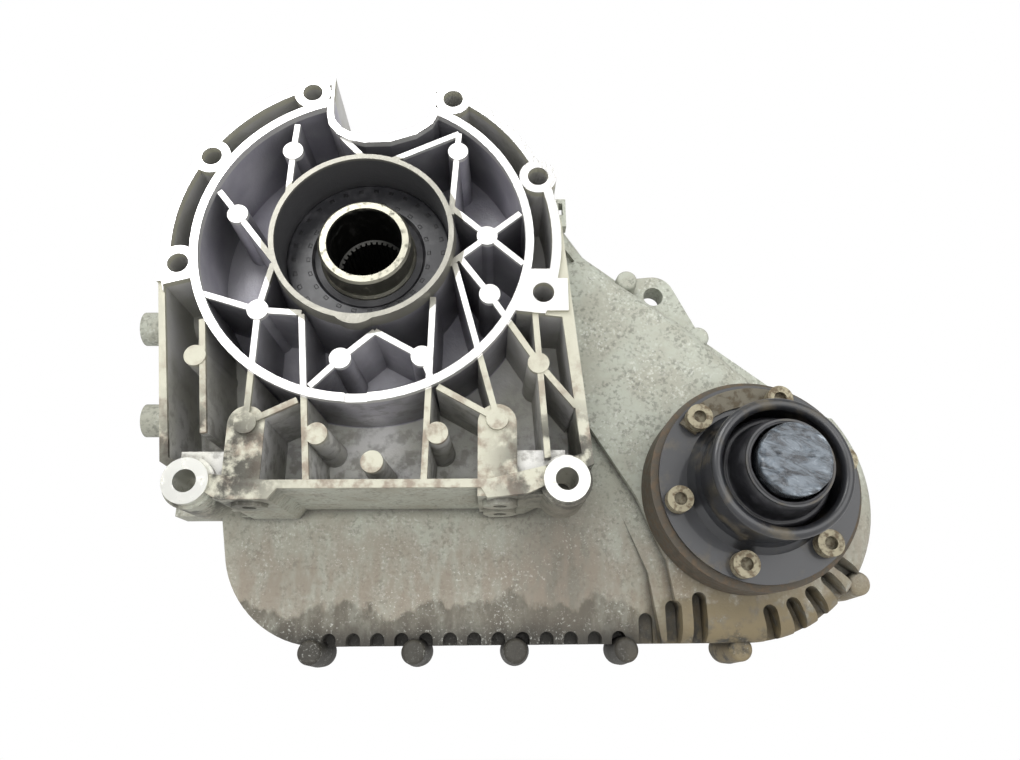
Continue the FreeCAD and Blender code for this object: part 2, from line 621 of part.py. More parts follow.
def rear_case():
    """Cover of the chain case with the rear output housing."""
    tail = TAIL_BEARING_Y + BEARING_C[2]
    shell = hull(CASE_CIRCLES, -COVER_STEP, SPLIT_Y, COVER_Y)
    rims = [e for e in shell.Edges if abs(e.BoundBox.YMin - COVER_Y) < 0.01 and e.BoundBox.YLength < 0.01]
    shell = shell.makeFillet(NOSE * 0.8, rims).cut(waist(-COVER_STEP, COVER_Y, SPLIT_Y, NOSE * 0.8))
    shell = shell.fuse(hull(CASE_CIRCLES, 0, SPLIT_Y, SPLIT_Y + FLANGE_T))
    end_y = REAR_FLANGE_Y - 1.5
    parts = [
        turned(INPUT, [
            (0, SPLIT_Y), (HOUSING_R, SPLIT_Y), (HOUSING_R, HOUSING_Y - 6), (HOUSING_R - 6, HOUSING_Y),
            (BEARING_B[1] + 12, HOUSING_Y), (BEARING_B[1] + 7, HOUSING_Y + 8),
            (BEARING_B[1] + 7, end_y), (0, end_y),
        ]),
        turned(OUTPUT, [
            (0, COVER_Y - 2), (BEARING_C[1] + 8, COVER_Y - 2), (BEARING_C[1] + 6, tail + 3),
            (BEARING_C[1] + 2, tail + 6), (0, tail + 6),
        ]),
    ]
    for centre in SPLIT_BOLTS:
        parts.append(rod(centre, SPLIT_Y, SPLIT_Y + FLANGE_T, SPLIT_BOSS_R))
    parts.append(ear(SPLIT_Y, SPLIT_Y + EAR_T))
    for angle in (-75, -52, -38, -5, 215, 245, 270):
        parts.append(cover_rib(angle))
    for spot in (FILL_PLUG, DRAIN_PLUG):
        parts.append(rod(spot, COVER_Y - WALL, COVER_Y + PLUG_BOSS, PLUG_R + 5))
    body = weld(shell, parts)
    limit = hull(CASE_CIRCLES, SPLIT_BOSS_R + 8, SPLIT_Y, REAR_FLANGE_Y)
    roof = waist(-COVER_STEP - WALL, SPLIT_Y - 2, COVER_Y)
    body = body.common(limit)
    cuts = [
        hull(CASE_CIRCLES, -WALL - COVER_STEP, SPLIT_Y - 1, COVER_Y - WALL).cut(roof),
        rod(INPUT, SPLIT_Y - 1, HOUSING_Y - WALL, HOUSING_R - WALL),
        rod(INPUT, SPLIT_Y, REAR_BEARING_Y + BEARING_B[2], BEARING_B[1]),
        rod(INPUT, SPLIT_Y, REAR_FLANGE_Y, HUB_R + 4),
        rod(INPUT, REAR_BEARING_Y + BEARING_B[2] + 2, REAR_FLANGE_Y, SEAL_C),
        rod(OUTPUT, SPLIT_Y - 1, tail, BEARING_C[1]),
        rod(EAR[:2], SPLIT_Y - 1, SPLIT_Y + EAR_T + 1, EAR_HOLE),
        Part.makeCylinder(3.5 + SEAT, 12, V(0, BREATHER_Y, HOUSING_R - WALL - 1), V(0, 0, 1)),
    ]
    cuts += [rod(c, SPLIT_Y - 1, SPLIT_Y + 16, BOLT_R + 0.3) for c in SPLIT_BOLTS]
    cuts += [rod(c, SPLIT_Y + FLANGE_T, COVER_Y, HEAD_R + 0.8) for c in UPPER_BOLTS]
    cuts += [rod(c, COVER_Y + PLUG_BOSS, HOUSING_Y, PLUG_R + 4) for c in (FILL_PLUG, DRAIN_PLUG)]
    cuts += [rod(c, COVER_Y - WALL - 1, COVER_Y + 6, PLUG_R) for c in (FILL_PLUG, DRAIN_PLUG)]
    cuts += [rod(c, SPLIT_Y - 1, SPLIT_Y + DOWEL_L / 2, DOWEL_R) for c in DOWELS]
    return body.cut(cuts[0].multiFuse(cuts[1:]))


def cover_rib(angle):
    """Outside rib of the cover, from the housing to the rim."""
    start = at(HOUSING_R - 4, angle)
    end = at(CASE_R1 + 36, angle)
    dx, dz = end[0] - start[0], end[1] - start[1]
    size = math.hypot(dx, dz)
    side = V(-dz / size * 2.2, 0, dx / size * 2.2)
    base = V(start[0], COVER_Y - 4, start[1]) - side
    low = V(end[0], COVER_Y - 4, end[1]) - side
    top = V(start[0], COVER_Y + 20, start[1]) - side
    face = Part.Face(Part.makePolygon([base, low, top, base]))
    return face.extrude(side * 2).common(hull(CASE_CIRCLES, -COVER_STEP - 2, SPLIT_Y, HOUSING_Y))


def fasteners():
    """Split bolts, dowels, sleeves and plugs."""
    seat = SPLIT_Y + FLANGE_T
    add("case_bolts", Part.makeCompound([bolt(c, seat, SPLIT_BOSS_Y + 5, -1) for c in SPLIT_BOLTS]))
    half = DOWEL_L / 2 - 0.1
    dowels = [tube(c, SPLIT_Y - half, SPLIT_Y + half, DOWEL_R - SEAT, BOLT_R + 0.5) for c in DOWELS]
    add("case_dowels", Part.makeCompound(dowels))
    sleeves = [tube(c, 0, SLEEVE_LENGTH, SLEEVE_R, SLEEVE_BORE) for c in sleeve_centres()]
    add("mounting_sleeves", Part.makeCompound(sleeves))
    fill_x, fill_z = FILL_PLUG
    drain_x, drain_z = DRAIN_PLUG
    for name, x, z in (("fill_plug", fill_x, fill_z), ("drain_plug", drain_x, drain_z)):
        plug = rod((x, z), COVER_Y + PLUG_BOSS, COVER_Y + PLUG_BOSS + 4, PLUG_R + 3)
        plug = plug.fuse(rod((x, z), COVER_Y - WALL, COVER_Y + PLUG_BOSS, PLUG_R - SEAT))
        hexagon = prism([at(5.0, 60 * i, (x, z)) for i in range(6)], COVER_Y + 3, COVER_Y + 9)
        add(name, plug.cut(hexagon))
    x, z = MAGNET
    magnet = tube((x, z), COVER_Y - WALL - 6, COVER_Y - WALL, 11.0, 3.0)
    add("sump_magnet", magnet)
    stem = Part.makeCylinder(3.5, 10, V(0, BREATHER_Y, HOUSING_R - WALL), V(0, 0, 1))
    cap = Part.makeCylinder(6.5, 7, V(0, BREATHER_Y, HOUSING_R + 0.5), V(0, 0, 1))
    add("breather", stem.fuse(cap))


def input_side():
    """Input shaft with its bearing, seal, carrier and planets."""
    bore, outer, width = BEARING_A
    end = BEARING_A_Y + width
    carrier_back = GEAR_Y + GEAR_W + 1
    profile = [
        (INPUT_BORE, INPUT_TIP), (INPUT_R - 1.2, INPUT_TIP), (INPUT_R, INPUT_TIP + 1.2),
        (INPUT_R, SEAL_A_Y - 2), (SEAL_JOURNAL, SEAL_A_Y - 0.8), (SEAL_JOURNAL, BEARING_A_Y - 0.5),
        (bore, BEARING_A_Y), (bore, end), (bore + 3.5, end), (bore + 3.5, end + 9),
        (bore, end + 10), (bore, carrier_back), (bore - 1.5, carrier_back),
        (bore - 1.5, carrier_back + 4), (0, carrier_back + 4), (0, SPLINE_Y + SPLINE_L + 16),
        (SPLINE_MINOR, SPLINE_Y + SPLINE_L + 12), (SPLINE_MINOR, SPLINE_Y),
        (INPUT_BORE, SPLINE_Y - 1),
    ]
    shaft = turned(INPUT, profile)
    cutter = toothed(INPUT, SPLINE_TEETH, SPLINE_MINOR - 1, SPLINE_MAJOR, 0.8, 0.55, 0,
                     SPLINE_Y - 2, SPLINE_Y + SPLINE_L)
    add("input_shaft", shaft.cut(cutter))
    bearing("input_bearing", INPUT, BEARING_A_Y, BEARING_A, 9)
    lip_seal("input_seal", INPUT, SEAL_A_Y, SEAL_A_W, outer, SEAL_JOURNAL)
    ring = tube(INPUT, BEARING_A_Y - CIRCLIP, BEARING_A_Y - 0.15, outer + 1.2, outer - 3.5)
    add("bearing_circlip", ring.cut(block(-4, 4, 0, 60, -60, -30)))
    washer = tube(INPUT, CHAIN_Y - 2.8, CHAIN_Y - 0.3, bore + 7, bore + SEAT)
    add("thrust_washer", washer)
    front = tube(INPUT, GEAR_Y - 5, GEAR_Y - 1, RING_R - 4.5, SUN_R + 2.5)
    back = tube(INPUT, carrier_back, carrier_back + 4, RING_R - 4.5, bore - 1.5 + SEAT)
    posts = [rod(at(ORBIT_R, 45 + 90 * i), GEAR_Y - 3, carrier_back + 2, 8.0) for i in range(PLANETS)]
    carrier = weld(front.fuse(back), posts)
    spots = [at(ORBIT_R, 360.0 / PLANETS * i) for i in range(PLANETS)]
    for spot in spots:
        carrier = carrier.cut(rod(spot, GEAR_Y - 6, carrier_back + 6, PIN_R))
    add("planet_carrier", carrier)
    pins = [rod(spot, GEAR_Y - 5, carrier_back + 4, PIN_R - SEAT) for spot in spots]
    add("planet_pins", Part.makeCompound(pins))
    for i, spot in enumerate(spots):
        phase = planet_phase(i)
        gear = toothed(spot, PLANET_TEETH, PLANET_R - 2.3, PLANET_R + 1.5, 1.9, 0.55, phase,
                       GEAR_Y, GEAR_Y + GEAR_W)
        gear = gear.cut(rod(spot, GEAR_Y - 1, GEAR_Y + GEAR_W + 1, PIN_R + RUN))
        add("planet_gear_%d" % (i + 1), gear)


def planet_phase(index):
    """Angle of a planet tooth that meshes with the sun at rest."""
    place = 360.0 / PLANETS * index
    sun_step = 360.0 / SUN_TEETH
    gap = (place / sun_step) % 1.0
    return place + 180 + (gap + 0.5) * 360.0 / PLANET_TEETH


def chain_drive():
    """Sprockets, sun gear and chain."""
    y1 = CHAIN_Y + CHAIN_W
    lean = math.degrees(math.atan2(OFFSET_Z, OFFSET_X))
    start = lean + 90
    step = 360.0 / TEETH
    root, tip = PITCH_R - 6.8, PITCH_R - 2.3
    bore = BEARING_A[0] + BUSH
    # tooth gaps face the chain toes at (i + 0.5) pitches from the tangent
    wheel = toothed(INPUT, TEETH, root, tip, 2.0, 1.1, start, CHAIN_Y, y1)
    add("drive_sprocket", wheel.cut(rod(INPUT, CHAIN_Y - 1, y1 + 1, bore)))
    add("sprocket_bush", tube(INPUT, CHAIN_Y, y1, bore - SEAT, BEARING_A[0] + RUN))
    sun = toothed(INPUT, SUN_TEETH, SUN_R - 2.3, SUN_R + 1.5, 1.9, 0.55, 0, GEAR_Y, GEAR_Y + GEAR_W)
    sun = sun.fuse(rod(INPUT, y1, GEAR_Y + 1, SUN_R - 2.5))
    add("sun_gear", sun.cut(rod(INPUT, y1 - 1, GEAR_Y + GEAR_W + 1, BEARING_A[0] + 1)))
    wheel = toothed(OUTPUT, TEETH, root, tip, 2.0, 1.1, start + 180 + step / 2, CHAIN_Y, y1)
    for y in (CHAIN_Y - 1, y1 - 8):
        wheel = wheel.cut(tube(OUTPUT, y, y + 9, 40.0, 29.0))
    add("driven_sprocket", wheel.cut(rod(OUTPUT, CHAIN_Y - 1, y1 + 1, SPROCKET_BORE)))
    links = []
    half = PITCH * 0.455
    toe, slim = 1.6, 0.95
    outline = [
        (-half, CHAIN_BACK), (-half, -CHAIN_BELLY), (-toe, -CHAIN_BELLY), (-slim, -CHAIN_TOE),
        (slim, -CHAIN_TOE), (toe, -CHAIN_BELLY), (half, -CHAIN_BELLY), (half, CHAIN_BACK),
    ]
    for i in range(LINKS):
        (x, z), normal = chain_place((i + 0.5) * PITCH, start)
        nx, nz = math.cos(normal), math.sin(normal)
        links.append(prism([(x + u * nz + v * nx, z - u * nx + v * nz) for u, v in outline],
                           CHAIN_Y + 0.5, y1 - 0.5))
    add("chain", Part.makeCompound(links))


def chain_place(run, start):
    """Point and outward normal on the chain loop at a length run."""
    wrap = TEETH / 2 * PITCH
    span = CENTRE_DISTANCE
    a0 = math.radians(start)
    ux, uz = OFFSET_X / span, OFFSET_Z / span
    if run < wrap:
        a = a0 + run / PITCH_R
        return (PITCH_R * math.cos(a), PITCH_R * math.sin(a)), a
    run -= wrap
    if run < span:
        a = a0 + math.pi
        return (PITCH_R * math.cos(a) + ux * run, PITCH_R * math.sin(a) + uz * run), a
    run -= span
    if run < wrap:
        a = a0 + math.pi + run / PITCH_R
        return (OFFSET_X + PITCH_R * math.cos(a), OFFSET_Z + PITCH_R * math.sin(a)), a
    run -= wrap
    return (OFFSET_X + PITCH_R * math.cos(a0) - ux * run, OFFSET_Z + PITCH_R * math.sin(a0) - uz * run), a0


def rear_output():
    """Ring gear, rear shaft, bearing, seal, flange and nut."""
    bore = BEARING_B[0]
    back = GEAR_Y + GEAR_W + 5.6
    drum = rod(INPUT, GEAR_Y - 4, back, RING_R + RING_WALL)
    space = toothed(INPUT, RING_TEETH, RING_R + 2.3, RING_R - 1.5, 1.9, 0.55, 0,
                    GEAR_Y - 5, back + 1)
    add("ring_gear", drum.cut(space))
    tip = REAR_FLANGE_Y + REAR_FLANGE_W
    end = REAR_BEARING_Y + BEARING_B[2]
    add("rear_output_shaft", turned(INPUT, [
        (0, back), (RING_R + RING_WALL, back), (RING_R + RING_WALL, back + 5), (HUB_R + 6, back + 5),
        (HUB_R + 1, REAR_BEARING_Y - 1.5), (HUB_R + 1, REAR_BEARING_Y), (bore, REAR_BEARING_Y),
        (bore, end + 0.5), (bore - 2, end + 1), (bore - 2, tip - 7), (14, tip - 6.5), (14, tip), (0, tip),
    ]))
    bearing("rear_bearing", INPUT, REAR_BEARING_Y, BEARING_B, 8)
    lip_seal("rear_seal", INPUT, REAR_FLANGE_Y - 10.5, SEAL_W, SEAL_C, HUB_R, -1)
    flange = rod(INPUT, end + 1, REAR_FLANGE_Y + 2, HUB_R)
    flange = flange.fuse(rod(INPUT, REAR_FLANGE_Y, tip, REAR_FLANGE_R))
    flange = flange.cut(rod(INPUT, end, tip, bore - 2 + SEAT))
    flange = flange.cut(rod(INPUT, tip - 6.5, tip + 1, NUT_R + 1.5))
    for i in range(JOINT_BOLTS):
        flange = flange.cut(rod(at(PCD / 2, 60 * i + 30), REAR_FLANGE_Y - 1, tip + 1, BOLT_R))
    add("rear_flange", flange)
    add("rear_flange_nut", nut(INPUT, tip - 6.5, tip - 1, 14))


def nut(centre, y0, y1, bore):
    """Hexagon nut."""
    body = prism([at(NUT_R, 60 * i, centre) for i in range(6)], y0, y1)
    return body.cut(rod(centre, y0 - 1, y1 + 1, bore + SEAT))


def front_output():
    """Front output shaft, its bearings, seal and companion flange."""
    front_y = RACE_Y + RACE_W
    bore, outer, width = BEARING_B
    web = front_y + COMPANION_W - 1.2
    add("front_output_shaft", turned(OUTPUT, [
        (0, front_y + NUT_SET), (12, front_y + NUT_SET), (12, web), (BEARING_C[0], web + 0.1),
        (BEARING_C[0], FRONT_BEARING_Y - 0.5), (bore, FRONT_BEARING_Y - 0.4),
        (bore, FRONT_BEARING_Y + width), (bore + 6, FRONT_BEARING_Y + width),
        (bore + 6, CHAIN_Y), (SPROCKET_BORE - SEAT, CHAIN_Y), (SPROCKET_BORE - SEAT, CHAIN_Y + CHAIN_W),
        (BEARING_C[0], CHAIN_Y + CHAIN_W + 0.5), (BEARING_C[0], TAIL_BEARING_Y + BEARING_C[2]),
        (0, TAIL_BEARING_Y + BEARING_C[2]),
    ]))
    bearing("front_output_bearing", OUTPUT, FRONT_BEARING_Y, BEARING_B, 8)
    cup = tube(OUTPUT, TAIL_BEARING_Y, TAIL_BEARING_Y + BEARING_C[2], BEARING_C[1] - SEAT, 31.0)
    add("tail_bearing_outer_ring", cup)
    rollers = [rod(at(27.0, 30 * i, OUTPUT), TAIL_BEARING_Y + 2, TAIL_BEARING_Y + 15, 3.9) for i in range(12)]
    add("tail_bearing_rollers", Part.makeCompound(rollers))
    cone = tube(OUTPUT, TAIL_BEARING_Y, TAIL_BEARING_Y + BEARING_C[2], 23.0, BEARING_C[0] + SEAT)
    add("tail_bearing_inner_ring", cone)
    lip_seal("front_output_seal", OUTPUT, FACE_Y - 1.5, SEAL_W, SEAL_B, HUB_R)
    disc = rod(OUTPUT, front_y, front_y + COMPANION_W, RACE_R)
    disc = disc.fuse(rod(OUTPUT, front_y, FRONT_BEARING_Y - 0.5, HUB_R))
    disc = disc.cut(rod(OUTPUT, web, FRONT_BEARING_Y, BEARING_C[0] + SEAT))
    disc = disc.cut(rod(OUTPUT, front_y - 1, web + 1, 12 + SEAT))
    disc = disc.cut(rod(OUTPUT, front_y - 1, front_y + NUT_SET + 4.2, NUT_R + 1.5))
    disc = disc.cut(rod(OUTPUT, front_y - 1, front_y + RELIEF, RELIEF_R))
    for spot in joint_spots():
        disc = disc.cut(rod(spot, front_y - 1, front_y + COMPANION_W + 1, BOLT_R))
    add("companion_flange", disc)
    add("front_flange_nut", nut(OUTPUT, front_y + NUT_SET, front_y + NUT_SET + 4.2, 12))


def joint_spots():
    """Bolt centres of the front joint."""
    return [at(PCD / 2, JOINT_TURN + 360.0 / JOINT_BOLTS * i, OUTPUT) for i in range(JOINT_BOLTS)]


def front_joint():
    """Ball joint of the front propeller shaft with its boot can."""
    front_y = RACE_Y + RACE_W
    can_y = RACE_Y - REGISTER - CAN_T
    race = turned(OUTPUT, [
        (CAN_FLANGE - 1.5, RACE_Y - REGISTER), (CAN_FLANGE - 1.5, RACE_Y), (RACE_R, RACE_Y + 1),
        (RACE_R, front_y), (BALL_ORBIT + 3.0, front_y), (BALL_ORBIT + 3.0, RACE_Y - REGISTER),
    ])
    ball_spots = [at(BALL_ORBIT, JOINT_TURN + 30 + 360.0 / BALLS * i, OUTPUT) for i in range(BALLS)]
    tracks = [rod(p, RACE_Y - 6, front_y + 3, BALL_R + SWEEP) for p in ball_spots]
    race = race.cut(tracks[0].multiFuse(tracks[1:]))
    holes = [rod(p, RACE_Y - 6, front_y + 1, BOLT_R + 0.3) for p in joint_spots()]
    add("joint_outer_race", race.cut(holes[0].multiFuse(holes[1:])))
    cage = turned(OUTPUT, [
        (BALL_ORBIT - 2.4, JOINT_Y - 9), (BALL_ORBIT + 1.0, JOINT_Y - 9), (BALL_ORBIT + 2.3, JOINT_Y - 6),
        (BALL_ORBIT + 2.7, JOINT_Y), (BALL_ORBIT + 2.3, JOINT_Y + 6), (BALL_ORBIT + 1.0, JOINT_Y + 9),
        (BALL_ORBIT - 2.4, JOINT_Y + 9),
    ])
    windows = [rod(p, JOINT_Y - BALL_R - SEAT, JOINT_Y + BALL_R + SEAT, BALL_R + 0.5) for p in ball_spots]
    add("joint_cage", cage.cut(windows[0].multiFuse(windows[1:])))
    balls = [ball_solid(x, JOINT_Y, z, BALL_R) for x, z in ball_spots]
    add("joint_balls", Part.makeCompound(balls))
    inner = turned(OUTPUT, [
        (STUB_R + SEAT, JOINT_Y - INNER_HALF), (22.8, JOINT_Y - INNER_HALF), (24.4, JOINT_Y - 4.5),
        (25.0, JOINT_Y), (24.4, JOINT_Y + 4.5), (22.8, JOINT_Y + INNER_HALF),
        (STUB_R + SEAT, JOINT_Y + INNER_HALF),
    ])
    add("joint_inner_race", inner.cut(tracks[0].multiFuse(tracks[1:])))
    wrap_in = WRAP_R - 1.6
    add("stub_shaft", turned(OUTPUT, [
        (0, WRAP_Y + 2), (wrap_in - 2, WRAP_Y + 2), (wrap_in - SEAT, WRAP_Y + 4), (wrap_in - SEAT, 2),
        (STUB_R, 4), (STUB_R, JOINT_Y + INNER_HALF), (0, JOINT_Y + INNER_HALF),
    ]))
    add("end_wrap", turned(OUTPUT, [
        (0, WRAP_Y), (WRAP_R - 1.5, WRAP_Y), (WRAP_R, WRAP_Y + 2.5), (WRAP_R, -5),
        (wrap_in, -5), (wrap_in, WRAP_Y + 3.98), (wrap_in - 2, WRAP_Y + 1.98), (0, WRAP_Y + 1.98),
    ]))
    can = turned(OUTPUT, [
        (CAN_FLANGE, can_y), (CAN_FLANGE, can_y + CAN_T), (35.0, can_y + CAN_T), (CAN_R, can_y - 3),
        (CAN_R - CAN_T, can_y - 7), (CAN_R - CAN_T, LIP_Y + 9), (CAN_R - CAN_T, LIP_Y + 3),
        (CAN_R, LIP_Y + 3), (CAN_R, can_y - 7.5), (CAN_R + 1.6, can_y - 3.6), (36.5, can_y),
    ])
    bead = Part.makeTorus(LIP_R - BEAD, BEAD, V(OUTPUT[0], LIP_Y + BEAD, OUTPUT[1]), AXIS)
    can = can.fuse(bead)
    for spot in joint_spots():
        can = can.cut(rod(spot, can_y - 1, can_y + CAN_T + 1, BOLT_R + 0.3))
    add("boot_can", can)
    boot = turned(OUTPUT, [
        (WRAP_R + 0.3, -22.4), (BOOT_NECK, -22.4), (BOOT_NECK, CLAMP_Y + CLAMP_W + 0.3),
        (BOOT_ROLL, -14), (BOOT_ROLL, -8),
        (25.0, 4), (CAN_R - CAN_T - 0.3, 9), (CAN_R - CAN_T - 0.3, 12.6), (26.5, 11), (22.4, 5.5), (WRAP_R + 0.3, -7),
    ])
    add("joint_boot", boot)
    clamp = tube(OUTPUT, CLAMP_Y, CLAMP_Y + CLAMP_W, BOOT_NECK + 1.0, BOOT_NECK + SEAT)
    add("boot_clamp", clamp)
    heads = []
    for i, spot in enumerate(joint_spots()):
        lift = PLATE_T if i in (0, JOINT_BOLTS - 1) else 0.0
        heads.append(bolt(spot, can_y - lift, front_y + COMPANION_W))
    add("joint_bolts", Part.makeCompound(heads))
    a0, a1 = JOINT_TURN - 60, JOINT_TURN
    plate = tube(OUTPUT, can_y - PLATE_T, can_y, PCD / 2 + 5.5, PCD / 2 - 4.2)
    wedge = [OUTPUT] + [at(80, a0 - 9 + i * (a1 - a0 + 18) / 6, OUTPUT) for i in range(7)]
    plate = plate.common(prism(wedge, can_y - 5, can_y + 5))
    for spot in (joint_spots()[0], joint_spots()[-1]):
        plate = plate.cut(rod(spot, can_y - 5, can_y + 5, BOLT_R + 0.3))
    add("bolt_plate", plate)


add("front_case", front_case())
add("rear_case", rear_case())
fasteners()
input_side()
chain_drive()
rear_output()
front_output()
front_joint()
for name, shape in NODES.items():
    shape.exportStep("parts/%s.step" % name)
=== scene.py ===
"""Dresses the transfer case: finishes, shaft-end wrap, joint boot, grime and studio."""

import logging
import math
from dataclasses import dataclass
from enum import Enum
from typing import Any

import bmesh
import bpy
from mathutils import Matrix, Vector, noise

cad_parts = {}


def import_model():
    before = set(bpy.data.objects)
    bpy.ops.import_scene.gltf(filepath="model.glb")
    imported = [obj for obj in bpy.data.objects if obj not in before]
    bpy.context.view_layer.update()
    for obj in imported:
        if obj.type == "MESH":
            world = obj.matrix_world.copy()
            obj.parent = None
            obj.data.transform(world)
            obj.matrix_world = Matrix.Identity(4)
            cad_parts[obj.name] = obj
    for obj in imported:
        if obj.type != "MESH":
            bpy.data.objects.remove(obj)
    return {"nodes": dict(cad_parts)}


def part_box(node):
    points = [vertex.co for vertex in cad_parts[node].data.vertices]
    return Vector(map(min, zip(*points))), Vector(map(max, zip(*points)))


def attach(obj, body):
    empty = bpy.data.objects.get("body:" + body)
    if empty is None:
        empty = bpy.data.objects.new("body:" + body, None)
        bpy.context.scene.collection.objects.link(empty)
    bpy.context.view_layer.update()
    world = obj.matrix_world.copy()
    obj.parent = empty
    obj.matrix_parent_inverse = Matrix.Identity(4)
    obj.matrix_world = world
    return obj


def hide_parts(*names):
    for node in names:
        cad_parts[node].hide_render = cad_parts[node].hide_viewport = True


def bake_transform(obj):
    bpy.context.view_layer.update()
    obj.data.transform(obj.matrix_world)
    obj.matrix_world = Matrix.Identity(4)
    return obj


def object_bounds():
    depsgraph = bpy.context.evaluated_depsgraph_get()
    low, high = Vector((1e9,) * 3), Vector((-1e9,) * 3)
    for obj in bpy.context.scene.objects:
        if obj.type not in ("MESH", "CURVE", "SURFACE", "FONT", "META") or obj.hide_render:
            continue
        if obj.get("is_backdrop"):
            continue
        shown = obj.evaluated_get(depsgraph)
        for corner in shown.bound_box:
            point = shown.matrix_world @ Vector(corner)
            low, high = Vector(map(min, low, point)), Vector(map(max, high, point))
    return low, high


LOG = logging.getLogger("transfer_case")
MM = 0.001

Socket = bpy.types.NodeSocket
Rgba = tuple[float, float, float, float]
Triple = tuple[float, float, float]
DOWN = (1.0, 1.0, 0.2)
EVEN = (1.0, 1.0, 1.0)
FULL_CORE = 0.25
OPEN_FACE, DEEP_CORNER = 0.85, 0.35


def linear(code: str) -> Rgba:
    """Turns an sRGB hex colour into linear light.

    Args:
        code: Colour as "#rrggbb".

    Returns:
        Red, green, blue and an alpha of 1.
    """
    values = [int(code[i : i + 2], 16) / 255 for i in (1, 3, 5)]
    lit = [v / 12.92 if v <= 0.04045 else ((v + 0.055) / 1.055) ** 2.4 for v in values]
    return lit[0], lit[1], lit[2], 1.0


WHITE = linear("#ffffff")


def per_mm(size: float) -> float:
    """Pattern scale at which one repeat is the given size in millimetres."""
    return 1.0 / (size * MM)


def add(
    tree: bpy.types.NodeTree, kind: str, settings: dict[str, Any], inputs: dict[Any, Any]
) -> bpy.types.Node:
    """Adds a node with its settings and links.

    Args:
        tree: Node tree that gets the node.
        kind: Blender's name of the node type.
        settings: Attributes set on the node.
        inputs: Value, or socket to link from, for each input name or index.

    Returns:
        The new node.
    """
    node = tree.nodes.new(kind)
    for key, value in settings.items():
        setattr(node, key, value)
    for key, value in inputs.items():
        if isinstance(value, Socket):
            tree.links.new(value, node.inputs[key])
        else:
            node.inputs[key].default_value = value
    return node


class Process(Enum):
    """How a surface was made, which sets its fine relief."""

    SAND_CAST = "sand cast"
    TURNED = "turned"
    PLATED = "plated"
    MOULDED = "moulded"


@dataclass(frozen=True)
class Relief:
    """Fine relief of a surface."""

    grain_mm: float
    height_mm: float
    strength: float


RELIEFS = {
    Process.SAND_CAST: Relief(1.1, 0.10, 0.9),
    Process.TURNED: Relief(0.9, 0.015, 0.4),
    Process.PLATED: Relief(0.8, 0.03, 0.5),
    Process.MOULDED: Relief(0.7, 0.03, 0.5),
}


